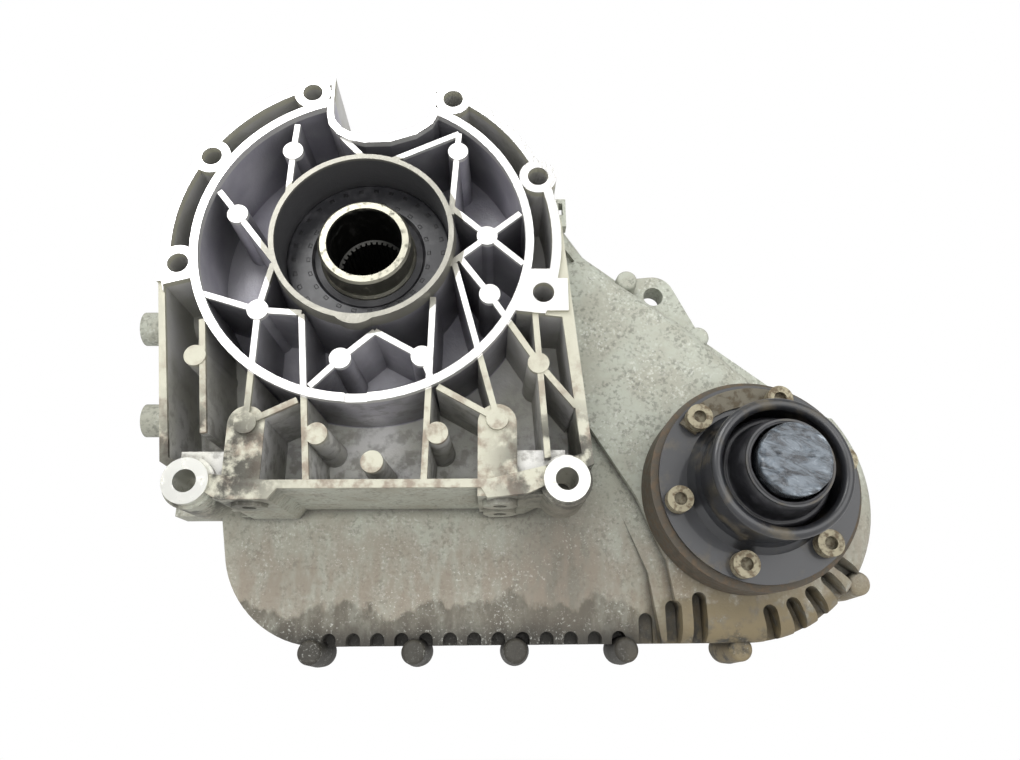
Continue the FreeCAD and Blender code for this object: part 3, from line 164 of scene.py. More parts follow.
class Sheet:
    """One material under construction: its tree, its shader and its coordinates."""

    def __init__(self, name: str) -> None:
        """Starts an empty material.

        Args:
            name: Name of the material.
        """
        self.material = bpy.data.materials.new(name)
        self.material.use_nodes = True
        self.tree = self.material.node_tree
        self.shader = self.tree.nodes["Principled BSDF"]
        self.coords = add(self.tree, "ShaderNodeTexCoord", {}, {}).outputs["Object"]
        self.axes = add(self.tree, "ShaderNodeSeparateXYZ", {}, {"Vector": self.coords})

    def band(self, value: Socket, start: float, end: float) -> Socket:
        """Smooth step from 0 at start to 1 at end.

        Args:
            value: Socket that is measured.
            start: Value that gives 0.
            end: Value that gives 1.

        Returns:
            Socket of the step.
        """
        low, high, flip = (start, end, False) if start < end else (end, start, True)
        limits = {"Value": value, "From Min": low, "From Max": high}
        limits |= {"To Min": 1.0 if flip else 0.0, "To Max": 0.0 if flip else 1.0}
        return self.node("ShaderNodeMapRange", limits, "Result", interpolation_type="SMOOTHSTEP")

    def node(self, kind: str, inputs: dict[Any, Any], output: int | str = 0, **settings: Any) -> Socket:
        """Adds a node to this material.

        Args:
            kind: Blender's name of the node type.
            inputs: Value, or socket to link from, for each input name or index.
            output: Name or index of the output that is wanted.
            settings: Attributes set on the node.

        Returns:
            Socket of that output.
        """
        return add(self.tree, kind, settings, inputs).outputs[output]

    def fold(self, operation: str, first: Any, *shares: Any) -> Any:
        """Joins shares from 0 to 1 one after another.

        Args:
            operation: Operation of the math nodes between them.
            first: Number or socket.
            shares: More numbers or sockets, if any.

        Returns:
            Socket of the result, or the first share alone.
        """
        total = first
        for share in shares:
            total = self.node("ShaderNodeMath", {0: total, 1: share}, operation=operation, use_clamp=True)
        return total

    def times(self, *shares: Any) -> Any:
        """Product of shares."""
        return self.fold("MULTIPLY", *shares)

    def ramp(self, base: float, gain: float, share: Socket) -> Socket:
        """Share that runs from the base to the base and the gain together."""
        return self.fold("ADD", base, self.times(share, gain))

    def noise(self, size: float, detail: float = 4.0, stretch: Triple = EVEN) -> Socket:
        """Cloudy noise.

        Args:
            size: Size of one repeat in millimetres.
            detail: Octaves of the noise.
            stretch: Scale along X, Y and Z; under 1 draws the pattern out.

        Returns:
            Socket from 0 to 1.
        """
        place = self.node("ShaderNodeMapping", {"Vector": self.coords, "Scale": stretch})
        inputs = {"Vector": place, "Scale": per_mm(size), "Detail": detail, "Roughness": 0.6}
        return self.node("ShaderNodeTexNoise", inputs, "Fac")

    def patches(self, size: float, low: float, high: float, detail: float = 4.0) -> Socket:
        """Random patches with soft edges.

        Args:
            size: Patch size in millimetres.
            low: Noise value under which there is nothing.
            high: Noise value over which a patch is full.
            detail: Octaves of the noise.

        Returns:
            Socket from 0 to 1.
        """
        return self.band(self.noise(size, detail), low, high)

    def wander(self, value: Socket, size: float, reach: float, stretch: Triple) -> Socket:
        """Shifts a measured place by noise, so that an edge drawn with it wanders.

        Args:
            value: Place in metres.
            size: Size of one bend in millimetres.
            reach: Full shift in millimetres.
            stretch: Scale of the noise along X, Y and Z.

        Returns:
            Socket of the shifted place.
        """
        sway = self.node("ShaderNodeMath", {0: self.noise(size, 5.0, stretch), 1: 0.5}, operation="SUBTRACT")
        shift = self.node("ShaderNodeMath", {0: sway, 1: reach * MM}, operation="MULTIPLY")
        return self.node("ShaderNodeMath", {0: value, 1: shift}, operation="ADD")

    def radius(self) -> Socket:
        """Distance from the input axis.

        Returns:
            Socket of the distance in metres.
        """
        flat = self.node("ShaderNodeVectorMath", {0: self.coords, 1: (1.0, 0.0, 1.0)}, operation="MULTIPLY")
        return self.node("ShaderNodeVectorMath", {0: flat}, "Value", operation="LENGTH")

    def near(self, spot: Triple, reach: float) -> Socket:
        """Patch round a place, with a soft edge.

        Args:
            spot: Middle of the patch in metres.
            reach: Radius of the patch in millimetres.

        Returns:
            Socket that is 1 in the middle and 0 from the reach on.
        """
        far = self.node("ShaderNodeVectorMath", {0: self.coords, 1: spot}, "Value", operation="DISTANCE")
        return self.band(far, reach * MM, reach * MM * FULL_CORE)

    def cover(self, under: Any, over: Any, *shares: Any) -> Socket:
        """Lays a colour over another as far as the product of the shares.

        Args:
            under: Colour that is covered, as a socket or "#rrggbb".
            over: Colour on top, as a socket or "#rrggbb".
            shares: Numbers or sockets from 0 to 1.

        Returns:
            Socket of the covered colour.
        """
        low, top = (linear(c) if isinstance(c, str) else c for c in (under, over))
        return self.node("ShaderNodeMix", {0: self.times(*shares), 6: low, 7: top}, 2, data_type="RGBA")

    def crevice(self, reach: float) -> Socket:
        """Corners and gaps, where shade falls, from ambient occlusion.

        Args:
            reach: How far apart the sides of a gap may be in millimetres.

        Returns:
            Socket that is 1 in a corner and 0 on an open face.
        """
        inputs = {"Distance": reach * MM}
        shade = self.node("ShaderNodeAmbientOcclusion", inputs, "AO", samples=6, only_local=True)
        return self.band(shade, OPEN_FACE, DEEP_CORNER)

    def emboss(self, *layers: tuple[Socket, float, float]) -> None:
        """Lays reliefs over one another and gives them to the surface.

        Args:
            layers: Socket from 0 to 1, height in millimetres and strength of each relief.
        """
        under: dict[str, Socket] = {}
        for height, full, strength in layers:
            inputs = {"Strength": strength, "Distance": full * MM, "Height": height} | under
            under = {"Normal": self.node("ShaderNodeBump", inputs, "Normal")}
        self.tree.links.new(under["Normal"], self.shader.inputs["Normal"])

    def relief(self, process: Process, extra: Socket | None, height: float) -> None:
        """Gives the surface its grain and any larger relief.

        Args:
            process: How the surface was made.
            extra: Larger relief from 0 to 1, or nothing.
            height: Height of the larger relief in millimetres.
        """
        look = RELIEFS[process]
        inputs = {"Vector": self.coords, "Scale": per_mm(look.grain_mm), "Detail": 3.0}
        layers = [(self.node("ShaderNodeTexNoise", inputs, "Fac"), look.height_mm, look.strength)]
        if extra is not None:
            layers.append((extra, height, 1.0))
        self.emboss(*layers)

    def finish(self, base: Any, metallic: Any, roughness: Any) -> bpy.types.Material:
        """Joins colour, metallic and roughness to the shader.

        Args:
            base: Colour, or socket of a colour.
            metallic: Number, or socket of one.
            roughness: Number, or socket of one.

        Returns:
            The finished material.
        """
        for name, value in (("Base Color", base), ("Metallic", metallic), ("Roughness", roughness)):
            if isinstance(value, Socket):
                self.tree.links.new(value, self.shader.inputs[name])
            else:
                self.shader.inputs[name].default_value = value
        return self.material


# Patterns on the casting: size in millimetres, noise of none and of a full patch, octaves.
WARM = (26.0, 0.38, 0.64)
FLECK, FLECK_FIELD = (2.2, 0.47, 0.62, 8.0), (9.0, 0.34, 0.60)
PALE, PALE_FIELD = (1.7, 0.50, 0.70, 9.0), (21.0, 0.38, 0.66)
SPECK, SPECK_FIELD = (1.3, 0.55, 0.68, 8.0), (23.0, 0.40, 0.64)
MUD = (9.0, 0.34, 0.54, 8.0)
GREASE = (12.0, 0.40, 0.54, 12.0)
PAINTED_HIGHLIGHT = (30.0, 0.36, 0.64, 2.0)
CELL_DIRT = (7.0, 0.46, 0.62, 8.0)
WORN = (9.0, 0.44, 0.64, 9.0)

# Edges on the pieces in metres: the coordinate where a zone is absent, then where it is full.
SHADE_X, SHADE_BACK_X, SHADE_Z = (0.135, 0.105), (0.060, 0.105), (-0.060, -0.110)
DIRT_Z = (-0.110, -0.170)
TIDE_Z = (-0.181, -0.185)
FOOT_Z = (-0.186, -0.202)
MUD_X, MUD_Z = (0.130, 0.180), (-0.150, -0.190)
CORNER_SHADE_Z = (0.030, -0.100)
CELL_DIRT_Z = (-0.040, -0.120)
WORN_Z = (-0.030, -0.110)
BELL_LEFT_X, BELL_RIGHT_X = (-0.0985, -0.0975), (0.1085, 0.1075)
BELL_FOOT_Z, BELL_BOX_Z = (-0.1275, -0.1265), (-0.018, -0.022)
BELL_ROUND = (0.1062, 0.1054)
CREST_Y = (0.0046, 0.0038)
MILLED_Y, MILLED_Z = (0.0008, 0.0004), (-0.118, -0.112)
POCKET_Y = (-0.0046, -0.002)
BORE_Y = (0.0044, 0.0070)
FILM_SIDE_Y = (-0.0275, -0.0245)

# Greasy corners of the adapter: the middle in metres and the reach in millimetres.
LEFT_CORNER = ((-0.068, 0.002, -0.120), 52.0)
RIGHT_CORNER = ((0.098, 0.004, -0.120), 42.0)


@dataclass(frozen=True)
class CastAluminium:
    """Die-cast aluminium, machined at the joint faces and weathered outside.

    The eye sees bright milled faces and rib crests, cells with painted highlights
    and painted shade that deepens towards their corners, and a chalky grey-green oxide
    outside with fine flecks, which road dirt, drips and mud cover towards the sump,
    with painted shade in a strip left of the flange and in corners.
    """

    name: str
    milled: str = "#ecebe8"
    crest: str = "#dddcd9"
    crest_outer: str = "#aeac9c"
    lip: str = "#8f8d84"
    cell: str = "#bbb9c2"
    cell_outer: str = "#c2c1b8"
    cell_painted_shade: str = "#242428"
    cell_painted_highlight: str = "#e4e3e6"
    oxide: str = "#a2a599"
    oxide_warm: str = "#8f8d7f"
    oxide_dark: str = "#5d5e55"
    speck: str = "#d6d7cf"
    soil: str = "#867b6d"
    drip_and_shade: str = "#4d493f"
    soot_and_shade: str = "#24221d"
    mud: str = "#75694f"
    grease: str = "#5a5a5c"
    ring: float = 0.0898
    pocket: float = 0.0474
    lip_radius: float = 0.0536
    bell_depth: float = 0.051
    metal_outer: float = 0.35
    metal_core: float = 0.3
    rough_oxide: float = 0.64
    rough_drop: float = 0.34

    def outside(self, s: Sheet) -> Socket:
        """Colour of the weathered skin, with painted shade in a strip and in corners.

        Args:
            s: Material under construction.

        Returns:
            Socket of the colour.
        """
        x, z = s.axes.outputs["X"], s.axes.outputs["Z"]
        skin = s.cover(self.oxide, self.oxide_warm, s.patches(*WARM), 0.6)
        skin = s.cover(skin, self.oxide_dark, s.patches(*FLECK), s.patches(*FLECK_FIELD), 0.6)
        skin = s.cover(skin, self.speck, s.patches(*PALE), s.patches(*PALE_FIELD), 0.55)
        # painted shade left of the flange, where the casting turns dark
        top = s.band(s.wander(z, 20.0, 30.0, EVEN), *SHADE_Z)
        skin = s.cover(skin, self.drip_and_shade, s.band(x, *SHADE_X), top, s.band(x, *SHADE_BACK_X), 0.75)
        # road dirt in vertical runs towards the sump
        low = s.band(z, *DIRT_Z)
        runs = s.band(s.noise(7.0, 8.0, (1.0, 1.0, 0.35)), 0.36, 0.62)
        skin = s.cover(skin, self.soil, low, s.ramp(0.30, 0.5, runs))
        tide = s.band(s.wander(z, 22.0, 44.0, (1.0, 1.0, 0.5)), *TIDE_Z)
        skin = s.cover(skin, self.drip_and_shade, tide, s.ramp(0.5, 0.3, runs))
        foot = s.band(s.wander(z, 9.0, 10.0, DOWN), *FOOT_Z)
        skin = s.cover(skin, self.soot_and_shade, foot, 0.85)
        skin = s.cover(skin, self.speck, s.patches(*SPECK), s.patches(*SPECK_FIELD), low, 0.5)
        skin = s.cover(skin, self.mud, s.band(x, *MUD_X), s.band(z, *MUD_Z), s.patches(*MUD))
        # painted shade in corners and round the lower bosses, in near-black
        skin = s.cover(skin, self.soot_and_shade, s.crevice(8.0), s.band(z, *CORNER_SHADE_Z), 0.85)
        return s.cover(skin, self.soot_and_shade, self.grime(s))

    def grime(self, s: Sheet) -> Socket:
        """Greasy dirt round the two lower corners of the adapter."""
        spots = s.fold("MAXIMUM", s.near(*LEFT_CORNER), s.near(*RIGHT_CORNER))
        return s.times(spots, s.patches(*GREASE), 0.9)

    def cells(self, s: Sheet, core: Socket) -> Socket:
        """Colour of the bell's cells, with painted highlights and painted shade.

        Args:
            s: Material under construction.
            core: Socket that is 1 inside the machined ring.

        Returns:
            Socket of the colour.
        """
        cell = s.cover(self.cell_outer, self.cell, core)
        # painted highlights in soft patches on the cells
        cell = s.cover(cell, self.cell_painted_highlight, s.patches(*PAINTED_HIGHLIGHT), 0.5)
        # painted shade towards the cell corners, deeper inside the ring
        cell = s.cover(cell, self.cell_painted_shade, s.crevice(26.0), s.ramp(0.36, 0.26, core))
        low = s.band(s.axes.outputs["Z"], *CELL_DIRT_Z)
        return s.cover(cell, self.drip_and_shade, low, s.patches(*CELL_DIRT), 0.5)

    def inside(self, s: Sheet) -> Socket:
        """Where the surface lies inside the bell.

        Args:
            s: Material under construction.

        Returns:
            Socket that is 1 inside the bell.
        """
        x, y, z = (s.axes.outputs[i] for i in "XYZ")
        box = s.times(s.band(x, *BELL_LEFT_X), s.band(x, *BELL_RIGHT_X), s.band(z, *BELL_BOX_Z))
        reach = s.fold("MAXIMUM", box, s.band(s.radius(), *BELL_ROUND))
        return s.times(s.band(y, self.bell_depth + 1 * MM, self.bell_depth), s.band(z, *BELL_FOOT_Z), reach)

    def crests(self, s: Sheet, core: Socket) -> Socket:
        """Colour of the rib crests.

        Args:
            s: Material under construction.
            core: Socket that is 1 inside the machined ring.

        Returns:
            Socket of the colour.
        """
        worn = s.cover(self.crest_outer, self.soil, s.patches(*WORN))
        edge = s.cover(self.crest_outer, worn, s.band(s.axes.outputs["Z"], *WORN_Z))
        edge = s.cover(edge, self.soot_and_shade, self.grime(s))
        edge = s.cover(edge, self.crest, core)
        return s.cover(edge, self.lip, s.band(s.radius(), self.lip_radius, self.lip_radius - 0.6 * MM))

    def build(self) -> bpy.types.Material:
        """Builds the casting's material.

        Returns:
            The material.
        """
        s = Sheet(self.name)
        y, z = s.axes.outputs["Y"], s.axes.outputs["Z"]
        radius = s.radius()
        core = s.band(radius, self.ring + 0.3 * MM, self.ring - 0.3 * MM)
        inside = self.inside(s)
        skin = s.cover(self.outside(s), self.cells(s, core), inside)
        skin = s.cover(skin, self.crests(s, core), s.band(y, *CREST_Y))
        bearing = s.band(radius, self.lip_radius, self.lip_radius + 1 * MM)
        milled = s.times(s.band(y, *MILLED_Y), s.band(z, *MILLED_Z), bearing)
        skin = s.cover(skin, self.milled, milled)
        # oil in the bearing pocket
        oily = s.band(radius, self.pocket + 0.2 * MM, self.pocket - 0.4 * MM)
        skin = s.cover(skin, self.grease, oily, s.band(y, *POCKET_Y))
        bright = s.times(inside, s.ramp(self.metal_outer, self.metal_core, core))
        metal = s.fold("MAXIMUM", milled, bright)
        rough = s.fold("SUBTRACT", self.rough_oxide, s.times(metal, self.rough_drop))
        s.relief(Process.SAND_CAST, s.noise(9.0, 6.0), 0.5)
        return s.finish(skin, metal, rough)


@dataclass(frozen=True)
class AgedSteel:
    """Steel with a plated, turned or painted skin, rusty and dirty patches, and dusty gaps darkened with
    painted shade.

    The eye sees the skin's own colour on high spots and dull brown rust in patches;
    gaps are darkened with painted shade in a dusty tone, and a bore with painted shade inside.
    """

    name: str
    skin: str
    patch: str
    dust_and_shade: str
    metallic: float
    roughness: float
    process: Process = Process.PLATED
    rust_size: float = 5.0
    rust_low: float = 0.50
    rust_high: float = 0.62
    rust_rough: float = 0.35
    rust_height: float = 0.06
    gap_shade_share: float = 0.6
    bore_share: float = 0.92
    gloss: float = 0.0
    bore_radius: float = 0.0

    def build(self) -> bpy.types.Material:
        """Builds the steel's material.

        Returns:
            The material.
        """
        s = Sheet(self.name)
        rust = s.patches(self.rust_size, self.rust_low, self.rust_high, 6.0)
        colour = s.cover(self.skin, self.patch, rust)
        # dusty tone and painted shade in gaps
        gap = s.times(s.crevice(5.0), self.gap_shade_share)
        colour = s.cover(colour, self.dust_and_shade, gap)
        # painted shade inside the bore
        if self.bore_radius:
            bore = s.band(s.radius(), self.bore_radius + 0.4 * MM, self.bore_radius + 0.1 * MM)
            colour = s.cover(colour, self.dust_and_shade, bore, s.band(s.axes.outputs["Y"], *BORE_Y), self.bore_share)
        dull = s.fold("MAXIMUM", rust, gap)
        metallic = s.times(s.fold("SUBTRACT", 1.0, dull), self.metallic)
        s.relief(self.process, rust, self.rust_height)
        s.shader.inputs["Coat Weight"].default_value = self.gloss
        return s.finish(colour, metallic, s.ramp(self.roughness, self.rust_rough, dull))


@dataclass(frozen=True)
class NitrileRubber:
    """Moulded nitrile rubber of seals and boots: matt black with a film of oil."""

    name: str
    base: str
    bloom: str
    roughness: float
    mark_rings: tuple[Triple, ...] = ()
    mark: str = "#09090a"
    mark_height: float = 0.35

    def build(self) -> bpy.types.Material:
        """Builds the rubber's material.

        Returns:
            The material.
        """
        s = Sheet(self.name)
        colour = s.cover(self.base, self.bloom, s.patches(7.0, 0.45, 0.65, 5.0), 0.6)
        raised: Socket | None = None
        sides = {0: s.axes.outputs["Z"], 1: s.axes.outputs["X"]}
        angle = s.node("ShaderNodeMath", sides, operation="ARCTAN2")
        for inner, outer, count in self.mark_rings:
            past = s.band(s.radius(), inner, inner + 0.3 * MM)
            within = s.band(s.radius(), outer, outer - 0.3 * MM)
            turns = s.node("ShaderNodeMath", {0: angle, 1: count}, operation="MULTIPLY")
            wave = s.node("ShaderNodeMath", {0: turns}, operation="SINE")
            mark = s.times(past, within, s.band(wave, 0.55, 0.75))
            raised = mark if raised is None else s.fold("MAXIMUM", raised, mark)
            colour = s.cover(colour, self.mark, mark, 0.8)
        s.relief(Process.MOULDED, raised, self.mark_height)
        return s.finish(colour, 0.0, self.roughness)


@dataclass(frozen=True)
class StretchFilm:
    """Clear polyethylene stretch film, wound over a greased shaft end.

    The eye sees painted highlights along sharp folds and painted blue-grey reflections
    in smears on a dark ground, and a shaded side behind the drawn face.
    """

    name: str
    ground: str = "#1f242a"
    reflection_smear: str = "#6d7780"
    # painted highlight colour of the sharp folds
    fold: str = "#b4bec6"
    shade: str = "#0d0d10"
    slant: float = -0.35
    fold_height: float = 2.2
    gloss: float = 0.6
    roughness: float = 0.20

    def build(self) -> bpy.types.Material:
        """Builds the film's material.

        Returns:
            The material.
        """
        s = Sheet(self.name)
        inputs = {"Vector": s.coords, "Angle": self.slant}
        turn = s.node("ShaderNodeVectorRotate", inputs, rotation_type="Y_AXIS")
        drawn = s.node("ShaderNodeMapping", {"Vector": turn, "Scale": (0.50, 1.0, 1.5)})
        cloud = {"Vector": drawn, "Scale": per_mm(6.5), "Detail": 9.0, "Roughness": 0.70, "Distortion": 0.7}
        folds = s.node("ShaderNodeTexNoise", cloud, "Fac")
        # painted reflections in smears and painted highlights on the sharp folds
        colour = s.cover(self.ground, self.reflection_smear, s.band(folds, 0.38, 0.60), 0.8)
        colour = s.cover(colour, self.fold, s.band(folds, 0.56, 0.66), s.patches(9.0, 0.44, 0.60), 0.8)
        colour = s.cover(colour, self.shade, s.band(s.axes.outputs["Y"], *FILM_SIDE_Y), 0.92)
        s.emboss((folds, self.fold_height, 1.0))
        s.shader.inputs["Coat Weight"].default_value = self.gloss
        return s.finish(colour, 0.0, self.roughness)


CASTING = CastAluminium("cast_aluminium_weathered")
SLEEVE_STEEL = AgedSteel(
    "zinc_steel_sleeve",
    skin="#dcdcd6",
    patch="#a9a79c",
    dust_and_shade="#6b675c",
    metallic=0.9,
    roughness=0.30,
    rust_low=0.55,
    rust_high=0.72,
    gap_shade_share=0.3,
)
BOLT_STEEL = AgedSteel(
    "zinc_steel_bolt_dusty",
    skin="#8d8670",
    patch="#5f5340",
    dust_and_shade="#3b362b",
    metallic=0.35,
    roughness=0.48,
    rust_size=3.0,
    rust_low=0.44,
)
CAN_STEEL = AgedSteel(
    "black_electrocoated_steel",
    skin="#222326",
    patch="#4f483a",
    dust_and_shade="#3a352b",
    metallic=0.0,
    roughness=0.34,
    rust_size=16.0,
    rust_high=0.72,
    gloss=0.25,
)
RACE_STEEL = AgedSteel(
    "forged_steel_dusty",
    skin="#484238",
    patch="#5b4e3f",
    dust_and_shade="#2c2722",
    metallic=0.25,
    roughness=0.60,
    rust_size=4.0,
    rust_low=0.44,
    rust_high=0.66,
)
# the near-black in its gaps and bore is painted shade
SHAFT_STEEL = AgedSteel(
    "ground_steel_oiled",
    skin="#8f8d80",
    patch="#5c594d",
    dust_and_shade="#101114",
    metallic=0.9,
    roughness=0.30,
    process=Process.TURNED,
    rust_size=4.0,
    rust_low=0.52,
    rust_high=0.72,
    gap_shade_share=0.5,
    bore_radius=0.0206,
)
PLATE_STEEL = AgedSteel(
    "zinc_steel_dusty",
    skin="#5d584b",
    patch="#4b4335",
    dust_and_shade="#332f27",
    metallic=0.2,
    roughness=0.6,
    rust_low=0.45,
)
BORE_STEEL = AgedSteel("hardened_steel_dark", "#6d6d6d", "#4b4a46", "#1c1b1a", 0.9, 0.34, Process.TURNED)
BRONZE = AgedSteel("turned_bronze", "#a37b46", "#7c5b33", "#3a2c1c", 0.9, 0.35, Process.TURNED)
PHOSPHATE = AgedSteel("phosphated_steel", "#2f2f30", "#4a443c", "#22201e", 0.5, 0.5)
MAGNET = AgedSteel("sintered_ferrite", "#33343a", "#2a2a2e", "#1a1a1c", 0.2, 0.5)
# Rings of raised marks on the input seal: inner and outer radius in metres, number of marks.
SEAL_MARKS = ((0.0395, 0.0418, 30.0), (0.0318, 0.0338, 24.0))
RUBBER = NitrileRubber("moulded_nitrile_seal", "#1d1d20", "#3a393b", 0.30, SEAL_MARKS)
BOOT = NitrileRubber("moulded_chloroprene_boot", "#1c1c1f", "#39393c", 0.45)
FILM = StretchFilm("polyethylene_stretch_film")

FINISH_OF_NODE = {
    "front_case": CASTING,
    "rear_case": CASTING,
    "mounting_sleeves": SLEEVE_STEEL,
    "case_bolts": BOLT_STEEL,
    "joint_bolts": BOLT_STEEL,
    "fill_plug": BOLT_STEEL,
    "drain_plug": BOLT_STEEL,
    "breather": BOLT_STEEL,
    "boot_can": CAN_STEEL,
    "boot_clamp": CAN_STEEL,
    "bolt_plate": PLATE_STEEL,
    "joint_outer_race": RACE_STEEL,
    "companion_flange": RACE_STEEL,
    "rear_flange": RACE_STEEL,
    "input_shaft": SHAFT_STEEL,
    "sprocket_bush": BRONZE,
    "bearing_circlip": PHOSPHATE,
    "front_flange_nut": PHOSPHATE,
    "rear_flange_nut": PHOSPHATE,
    "sump_magnet": MAGNET,
    "input_seal": RUBBER,
    "rear_seal": RUBBER,
    "front_output_seal": RUBBER,
}


@dataclass
class Dresser:
    """Puts a finish on each rigid node, building each material once."""

    nodes: dict[str, bpy.types.Object]

    def run(self) -> None:
        """Assigns a material to every node."""
        built: dict[str, bpy.types.Material] = {}
        for name, node in sorted(self.nodes.items()):
            look = FINISH_OF_NODE.get(name, BORE_STEEL)
            if look.name not in built:
                built[look.name] = look.build()
            node.data.materials.clear()
            node.data.materials.append(built[look.name])
        LOG.info("dressed %d nodes with %d finishes", len(self.nodes), len(built))


@dataclass
class ShaftWrap:
    """Stretch film wound round the shaft end, drawn flat over its face."""

    radius: float = 16.6 * MM
    face_y: float = -29.4 * MM
    back_y: float = -6.0 * MM
    rim: float = 1.6 * MM
    flare: float = 0.1 * MM
    fold: float = 0.7 * MM
    ridge: float = 1.1 * MM
    lift_share: float = 0.6
    dent_share: float = 0.05
    segments: int = 160
    rings: int = 56
    face_rings: int = 28

    def outline(self) -> list[tuple[float, float]]:
        """Section of the film, from the middle of its face to its back.

        Returns:
            Radius and place along the shaft of each ring.
        """
        points = []
        for i in range(1, self.face_rings + 1):
            turn = i / self.face_rings * math.pi / 2
            drop = (1 - math.cos(turn)) ** 3 * self.rim
            points.append((self.radius * math.sin(turn) ** 0.9, self.face_y + drop))
        side_rings = self.rings - self.face_rings
        start = self.face_y + self.rim
        for i in range(1, side_rings + 1):
            share = i / side_rings
            points.append((self.radius + share * self.flare, start + share * (self.back_y - start)))
        return points

    def build(self, centre: Vector) -> bpy.types.Object:
        """Builds the crumpled film.

        Args:
            centre: Point on the shaft axis.

        Returns:
            The film piece.
        """
        mesh = bmesh.new()
        angles = [2 * math.pi * j / self.segments for j in range(self.segments)]
        rows = [[mesh.verts.new(self.crumple(centre, r, y, a)) for a in angles] for r, y in self.outline()]
        hub = mesh.verts.new(self.crumple(centre, 0.0, self.face_y, 0.0))
        for j in range(self.segments):
            k = (j + 1) % self.segments
            mesh.faces.new((hub, rows[0][k], rows[0][j]))
            for a, b in zip(rows, rows[1:]):
                mesh.faces.new((a[j], a[k], b[k], b[j]))
        return make_piece("shaft_end_film", mesh, FILM.build())

    def crumple(self, centre: Vector, r: float, y: float, angle: float) -> Vector:
        """Point of the film, moved by its folds.

        Args:
            centre: Point on the shaft axis.
            r: Radius before folding.
            y: Place along the shaft before folding.
            angle: Angle round the shaft.

        Returns:
            The folded point.
        """
        x, z = r * math.cos(angle), r * math.sin(angle)
        # folds run aslant over the face, so the noise is drawn out along one diagonal
        fold = noise.fractal(Vector((x * 90 + z * 70, y * 60, z * 190 - x * 60)), 0.9, 2.1, 4)
        ridge = abs(noise.noise(Vector((x * 150, 3.1, z * 260))))
        lift = fold * self.fold - ridge * self.ridge
        dent = max(0.0, noise.noise(Vector((math.cos(angle) * 3, y * 400, math.sin(angle) * 3))))
        pull = 1 - dent * self.dent_share
        return centre + Vector((x * pull, y - lift * self.lift_share, z * pull))


# Section of the rolled boot: share of the outer radius, then share of the depth from the front.
BOOT_SECTION = (
    (1.0, 1.0),
    (0.97, 0.80),
    (0.93, 0.62),
    (0.87, 0.52),
    (0.81, 0.60),
    (0.78, 0.44),
    (0.76, 0.24),
    (0.73, 0.10),
    (0.68, 0.04),
    (0.64, 0.0),
)


@dataclass
class JointBoot:
    """Rolled rubber boot between the can and the shaft."""

    segments: int = 96
    side_gap: float = 0.3 * MM
    end_gap: float = 0.4 * MM
    sag: float = 0.5 * MM
    wall: float = 1.2 * MM

    def build(self, centre: Vector, low: Vector, high: Vector) -> bpy.types.Object:
        """Builds the boot inside its solid's space.

        Args:
            centre: Point on the shaft axis.
            low: Lowest corner of the boot's solid.
            high: Highest corner of the boot's solid.

        Returns:
            The boot piece.
        """
        outer = (high.x - low.x) / 2 - self.side_gap
        front, back = low.y + self.end_gap, high.y - self.end_gap
        angles = [2 * math.pi * j / self.segments for j in range(self.segments)]
        mesh = bmesh.new()
        rows = []
        for k, (share, depth) in enumerate(BOOT_SECTION):
            row = []
            for a in angles:
                sag = noise.noise(Vector((math.cos(a) * 2, k * 0.7, math.sin(a) * 2))) * self.sag
                reach = min(outer * share + sag, outer)
                y = max(front, min(back, front + (back - front) * depth + sag))
                row.append(mesh.verts.new(centre + Vector((reach * math.cos(a), y, reach * math.sin(a)))))
            rows.append(row)
        for a, b in zip(rows, rows[1:]):
            for j in range(self.segments):
                k = (j + 1) % self.segments
                mesh.faces.new((a[j], b[j], b[k], a[k]))
        boot = make_piece("rolled_joint_boot", mesh, BOOT.build())
        thick = boot.modifiers.new("wall", "SOLIDIFY")
        thick.thickness = self.wall
        smooth = boot.modifiers.new("round", "SUBSURF")
        smooth.levels = smooth.render_levels = 1
        return boot


def make_piece(
    name: str, mesh: bmesh.types.BMesh, material: bpy.types.Material
) -> bpy.types.Object:
    """Turns a mesh into a smooth piece of the scene.

    Args:
        name: Name of the piece.
        mesh: Its faces.
        material: Its finish.

    Returns:
        The linked object.
    """
    bmesh.ops.recalc_face_normals(mesh, faces=mesh.faces)
    data = bpy.data.meshes.new(name)
    mesh.to_mesh(data)
    mesh.free()
    for face in data.polygons:
        face.use_smooth = True
    data.materials.append(material)
    piece = bpy.data.objects.new(name, data)
    bpy.context.scene.collection.objects.link(piece)
    return piece


@dataclass(frozen=True)
class Lamp:
    """Soft square lamp: its place and side in metres and its power in watts."""

    name: str
    place: Triple
    side: float
    watts: float

    def hang(self, aim: Vector) -> None:
        """Puts the lamp in the scene.

        Args:
            aim: Point that the lamp faces.
        """
        data = bpy.data.lights.new(self.name, "AREA")
        data.size, data.energy = self.side, self.watts
        lamp = bpy.data.objects.new(self.name, data)
        lamp.location = self.place
        lamp.rotation_euler = (aim - Vector(self.place)).to_track_quat("-Z", "Y").to_euler()
        bpy.context.scene.collection.objects.link(lamp)


LAMPS = (
    Lamp("key", (-0.45, -0.95, 0.75), 0.8, 13.0),
    Lamp("fill", (0.75, -0.85, 0.10), 0.9, 6.0),
    Lamp("under", (0.05, -0.70, -0.28), 0.5, 2.5),
)


